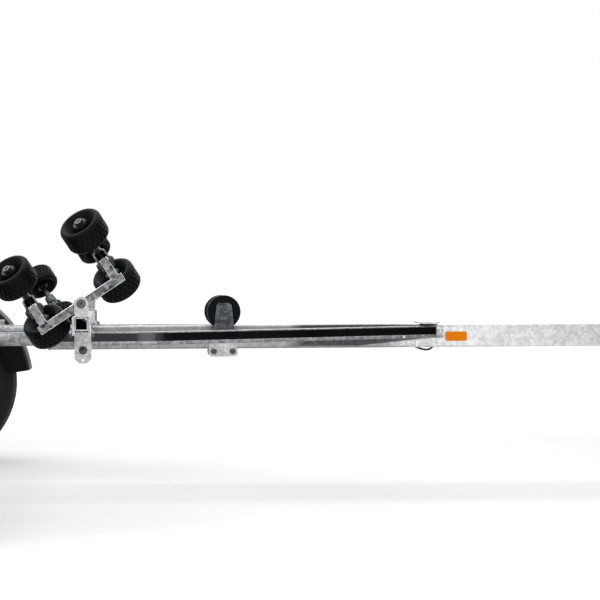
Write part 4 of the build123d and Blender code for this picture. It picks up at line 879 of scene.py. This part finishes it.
# %% Black gloss film
SWIRL_MM = 180
film, tree = new_material("black_gloss_vinyl_film")
place = node(tree, "ShaderNodeTexCoord")
swirl = node(
    tree, "ShaderNodeTexNoise", {"Vector": place.outputs["Object"]}, in_Scale=1 / (SWIRL_MM * MM),
    in_Detail=2.0,
)
gloss = node(tree, "ShaderNodeMapRange", {"Value": swirl.outputs["Fac"]}, in_To_Min=0.12, in_To_Max=0.2)
bump = node(tree, "ShaderNodeBump", {"Height": swirl.outputs["Fac"]}, in_Strength=0.1, in_Distance=0.3 * MM)
colour = node(
    tree, "ShaderNodeMix", {"Factor": swirl.outputs["Fac"]}, data_type="RGBA", in_6=linear("#050505"),
    in_7=linear("#101010"),
)
surface = node(
    tree, "ShaderNodeBsdfPrincipled",
    {"Base Color": colour.outputs[2], "Roughness": gloss.outputs[0], "Normal": bump.outputs[0]},
    in_IOR=1.45,
)
node(tree, "ShaderNodeOutputMaterial", {"Surface": surface.outputs[0]})

print("film waves mm", SWIRL_MM)

# %% Film along the rails
FILM_LOW, FILM_HIGH, FILM_WALL = 532.5, 557.5, 0.35
FILM_START, FILM_END, FILM_LIFT = 520, 1812, 0.1
BEND_STEPS = 12
RAIL_BEND = math.radians(29.2)
RAIL_BEND_START, RAIL_OUTER, RAIL_BEND_RADIUS = 763.3, 600, 285
for side, side_name in SIDES:
    bm = bmesh.new()
    line = [(FILM_START, RAIL_OUTER)]
    for step in range(BEND_STEPS + 1):
        turn = RAIL_BEND * step / BEND_STEPS
        line.append((
            RAIL_BEND_START + RAIL_BEND_RADIUS * math.sin(turn),
            RAIL_OUTER - RAIL_BEND_RADIUS * (1 - math.cos(turn)),
        ))
    line.append((FILM_END, line[-1][1] - math.tan(RAIL_BEND) * (FILM_END - line[-1][0])))
    low = [bm.verts.new(at(ahead, side * (y + FILM_LIFT), FILM_LOW)) for ahead, y in line]
    edges = [bm.edges.new((a, b)) for a, b in zip(low, low[1:])]
    grown = bmesh.ops.extrude_edge_only(bm, edges=edges)
    lifted_verts = [v for v in grown["geom"] if isinstance(v, bmesh.types.BMVert)]
    bmesh.ops.translate(bm, verts=lifted_verts, vec=(0, 0, (FILM_HIGH - FILM_LOW) * MM))
    bmesh.ops.recalc_face_normals(bm, faces=bm.faces)
    bm.faces.ensure_lookup_table()
    if bm.faces[0].normal.y * side < 0:
        bmesh.ops.reverse_faces(bm, faces=bm.faces)
    bmesh.ops.solidify(bm, geom=bm.faces[:], thickness=-FILM_WALL * MM)
    name = f"rail_film_{side_name}"
    finished(mesh_of(bm, name), name, film, "frame")
print("film height mm", FILM_HIGH - FILM_LOW)

# %% [markdown]
# Near the nose end of each rail a small bright rivet shows under the film. It stands square to
# the rail's slanting face.

# %% Rivets on the rails
RIVET_AHEAD, RIVET_HEIGHT = 1690, 527
RIVET_ACROSS, RIVET_RISE = 7, 3.2
rivets = []
for side, side_name in SIDES:
    outward = (math.sin(RAIL_BEND), side * math.cos(RAIL_BEND), 0)
    y = line[-1][1] + math.tan(RAIL_BEND) * (line[-1][0] - RIVET_AHEAD)
    rivets.append((at(RIVET_AHEAD, side * y, RIVET_HEIGHT), outward, RIVET_ACROSS, RIVET_RISE, 0))
# The rivets take the pale zinc, a painted highlight.
bolts("rail_rivets", "frame", rivets, painted_highlight_zinc)
print("rivets", len(rivets))

# %% [markdown]
# Each rocker carries four ends of tilt bolts, and each strap has a nut on both sides of both of
# its rollers. They are placed in the rocker's and the strap's own directions, so they lean with
# them, and they ride on the same bodies.

# %% Nuts on rockers and straps
STUB_HALF = 20.4
DISH_DEPTH, NUT_CLEARANCE = 5, 0.7
NUT_OUTER = ROLLER_SPACING / 2 + ROLLER_HALF - DISH_DEPTH + NUT_CLEARANCE
NUT_INNER = ROLLER_SPACING / 2 - ROLLER_HALF + DISH_DEPTH - NUT_CLEARANCE
TILT_NUT, OUTER_NUT, INNER_NUT = (18.6, 5.6, 1.2), (24.6, 5, 3), (24.6, 5, 0)
for ahead, set_name in CRADLE_SETS:
    for side, side_name in SIDES:
        rocker_rows = []
        for end, end_name in ENDS:
            bolt, along, across, lifted = pair_frame(ahead, side, end)
            for way in (1, -1):
                rocker_rows.append((bolt + along * way * STUB_HALF * MM, along * way, *TILT_NUT))
            hub = bolt + lifted * PAIR_RISE * MM
            rows = []
            for way in (1, -1):
                rows.append((hub + across * way * NUT_OUTER * MM, across * way, *OUTER_NUT))
                rows.append((hub + across * way * NUT_INNER * MM, across * -way, *INNER_NUT))
            key = f"{set_name}_{side_name}_{end_name}"
            bolts(f"axle_nuts_{key}", f"strap_{key}", rows, dull_zinc)
        bolts(f"tilt_nuts_{set_name}_{side_name}", f"rocker_{set_name}_{side_name}", rocker_rows, dull_zinc)
print("nuts on", len(CRADLE_SETS) * len(SIDES), "rockers")

# %% [markdown]
# The keel rollers are turned from the same rubber as the cradle rollers, with a smooth flared
# drum at each end. Their corners are moulded round, so the copy gets a wider bevel.

# %% Keel rollers, mudguards and other moulded pieces
MOULDED = (
    # node, radius in millimetres
    ("keel_roller_front", 4.0),
    ("keel_roller_rear", 4.0),
    ("mudguards", 1.4),
    ("drawshaft_gaiter", 1.0),
    ("jockey_wheel", 2.0),
    ("winch_crank", 1.5),
    ("jockey_tube", 1.0),
    ("jockey_leg", 1.0),
    ("coupling_head", 2.5),
    ("winch_drum", 0.6),
    ("strap_coil", 1.0),
    ("rim_and_hub_left", 0.8),
    ("rim_and_hub_right", 0.8),
)
for node_name, radius in MOULDED:
    made = softened(node_name, radius)
    print(node_name, len(made.data.polygons))

# %% [markdown]
# Five bolts hold each wheel. They sit on a circle of 112 mm, which is the common one for this
# rim.

# %% Wheel bolts
WHEEL_OUT, WHEEL_HEIGHT = 950, 325
WHEEL_BOLTS, BOLT_CIRCLE, RIM_FACE = 5, 56, 35.4
for side, side_name in SIDES:
    rows = []
    for index in range(WHEEL_BOLTS):
        turn = 2 * math.pi * index / WHEEL_BOLTS
        ahead, height = BOLT_CIRCLE * math.sin(turn), WHEEL_HEIGHT + BOLT_CIRCLE * math.cos(turn)
        rows.append((at(ahead, side * (WHEEL_OUT + RIM_FACE), height), (0, side, 0), *WHEEL_HEAD))
    bolts(f"wheel_bolts_{side_name}", f"wheel_{side_name}", rows)
print("bolts a wheel", WHEEL_BOLTS)

# %% [markdown]
# The number plate is a blank pressed sheet on the light bar. Its surface is white film with a
# fine grain, and it has no letters.

# %% Number plate
PLATE_WALL, PLATE_WIDTH, PLATE_TALL, PLATE_CORNER = 1.6, 520, 110, 8
PLATE_MIDDLE = (-2.9792, 0, 0.466)
plate_finish = grained("white_plate_film", "#e4e4e2", "#f2f2f0", 1.0, 60, (0.3, 0.4), 0.05)
bm = bmesh.new()
bmesh.ops.create_cube(bm, size=1)
bmesh.ops.scale(bm, vec=(PLATE_WALL * MM, PLATE_WIDTH * MM, PLATE_TALL * MM), verts=bm.verts)
short_edges = [e for e in bm.edges if abs((e.verts[0].co - e.verts[1].co).normalized().x) > 0.9]
bmesh.ops.bevel(
    bm, geom=short_edges, offset=PLATE_CORNER * MM, segments=4, profile=0.5, affect="EDGES", material=-1
)
bmesh.ops.translate(bm, vec=PLATE_MIDDLE, verts=bm.verts)
finished(mesh_of(bm, "number_plate"), "number_plate", plate_finish, "frame")
print("number plate", PLATE_WIDTH, "by", PLATE_TALL)

# %% [markdown]
# The road tyres are radials with four grooves, three ribs and rows of fine cuts. A turned
# outline of the tyre gives the casing with its grooves, and the shoulder blocks are pressed
# in between by inset faces. The sidewall is smooth with two thin rings and no lettering.

# %% Road tyres
TYRE_STEPS = 96
TYRE_OUTLINE = (
    # radius, and place outward of the tyre's middle
    (178.6, 48), (178.3, 62.4), (191, 62.7), (196, 68), (205, 78), (218, 86.5), (235, 91.2),
    (252, 92.3), (254, 91.5), (256, 92.2), (268, 90.5), (284, 85.5), (286, 84), (288, 84.6),
    (300, 79), (310, 72.5), (316.5, 65), (319.5, 56), (321.3, 47), (313.5, 46), (313.5, 39),
    (322.3, 38), (323.8, 30), (324.4, 22), (316.5, 21.3), (316.5, 13), (324.6, 12.3), (324.9, 0),
)
TYRE_INSIDE = (
    (205, -52), (240, -81), (290, -71), (306, -50), (308.5, 0), (306, 50), (290, 71), (240, 81),
    (205, 52),
)
SHOULDER_REACH, SHOULDER_FROM, SHOULDER_TO = 315.5, 48, 60
RIB_REACH, RIB_TO = 320, 45
SHOULDER_PRESS, RIB_PRESS = (2.0, 1.0, 5), (2.4, 0.5, 3)
TYRE_SHARP = 32


def tyre_piece(side, side_name):
    """A tyre turned about its wheel, with sipes across its ribs and blocks on its shoulders."""
    outline = list(TYRE_OUTLINE) + [(r, -y) for r, y in reversed(TYRE_OUTLINE[:-1])]
    outline = outline + list(TYRE_INSIDE) + [outline[0]]
    centre = at(0, side * WHEEL_OUT, WHEEL_HEIGHT)
    bm = turned(outline, TYRE_STEPS, centre, (0, 1, 0), (0, 0, 1))
    shoulder, ribs = [], []
    for face in bm.faces:
        middle = face.calc_center_median() - centre
        reach = math.hypot(middle.x, middle.z) / MM
        out = abs(middle.y) / MM
        turn = math.floor(math.atan2(middle.x, middle.z) / (2 * math.pi) * TYRE_STEPS)
        if reach > SHOULDER_REACH and SHOULDER_FROM < out < SHOULDER_TO and turn % 2 == 0:
            shoulder.append(face)
        if reach > RIB_REACH and out < RIB_TO and (turn + int(out)) % 2 == 0:
            ribs.append(face)
    pressed_in(bm, shoulder, SHOULDER_PRESS)
    pressed_in(bm, ribs, RIB_PRESS)
    name = f"road_tyre_{side_name}"
    made = finished(
        mesh_of(bm, name), name, FINISHES["tyre_rubber"], f"wheel_{side_name}", TYRE_SHARP
    )
    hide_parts(f"tyre_{side_name}")
    return made


for side, side_name in SIDES:
    made = tyre_piece(side, side_name)
    print(made.name, len(made.data.polygons))

# %% [markdown]
# The script ends by printing the box of the dressed model.

low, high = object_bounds()
print("visual box", [round(v, 3) for v in (*low, *high)])
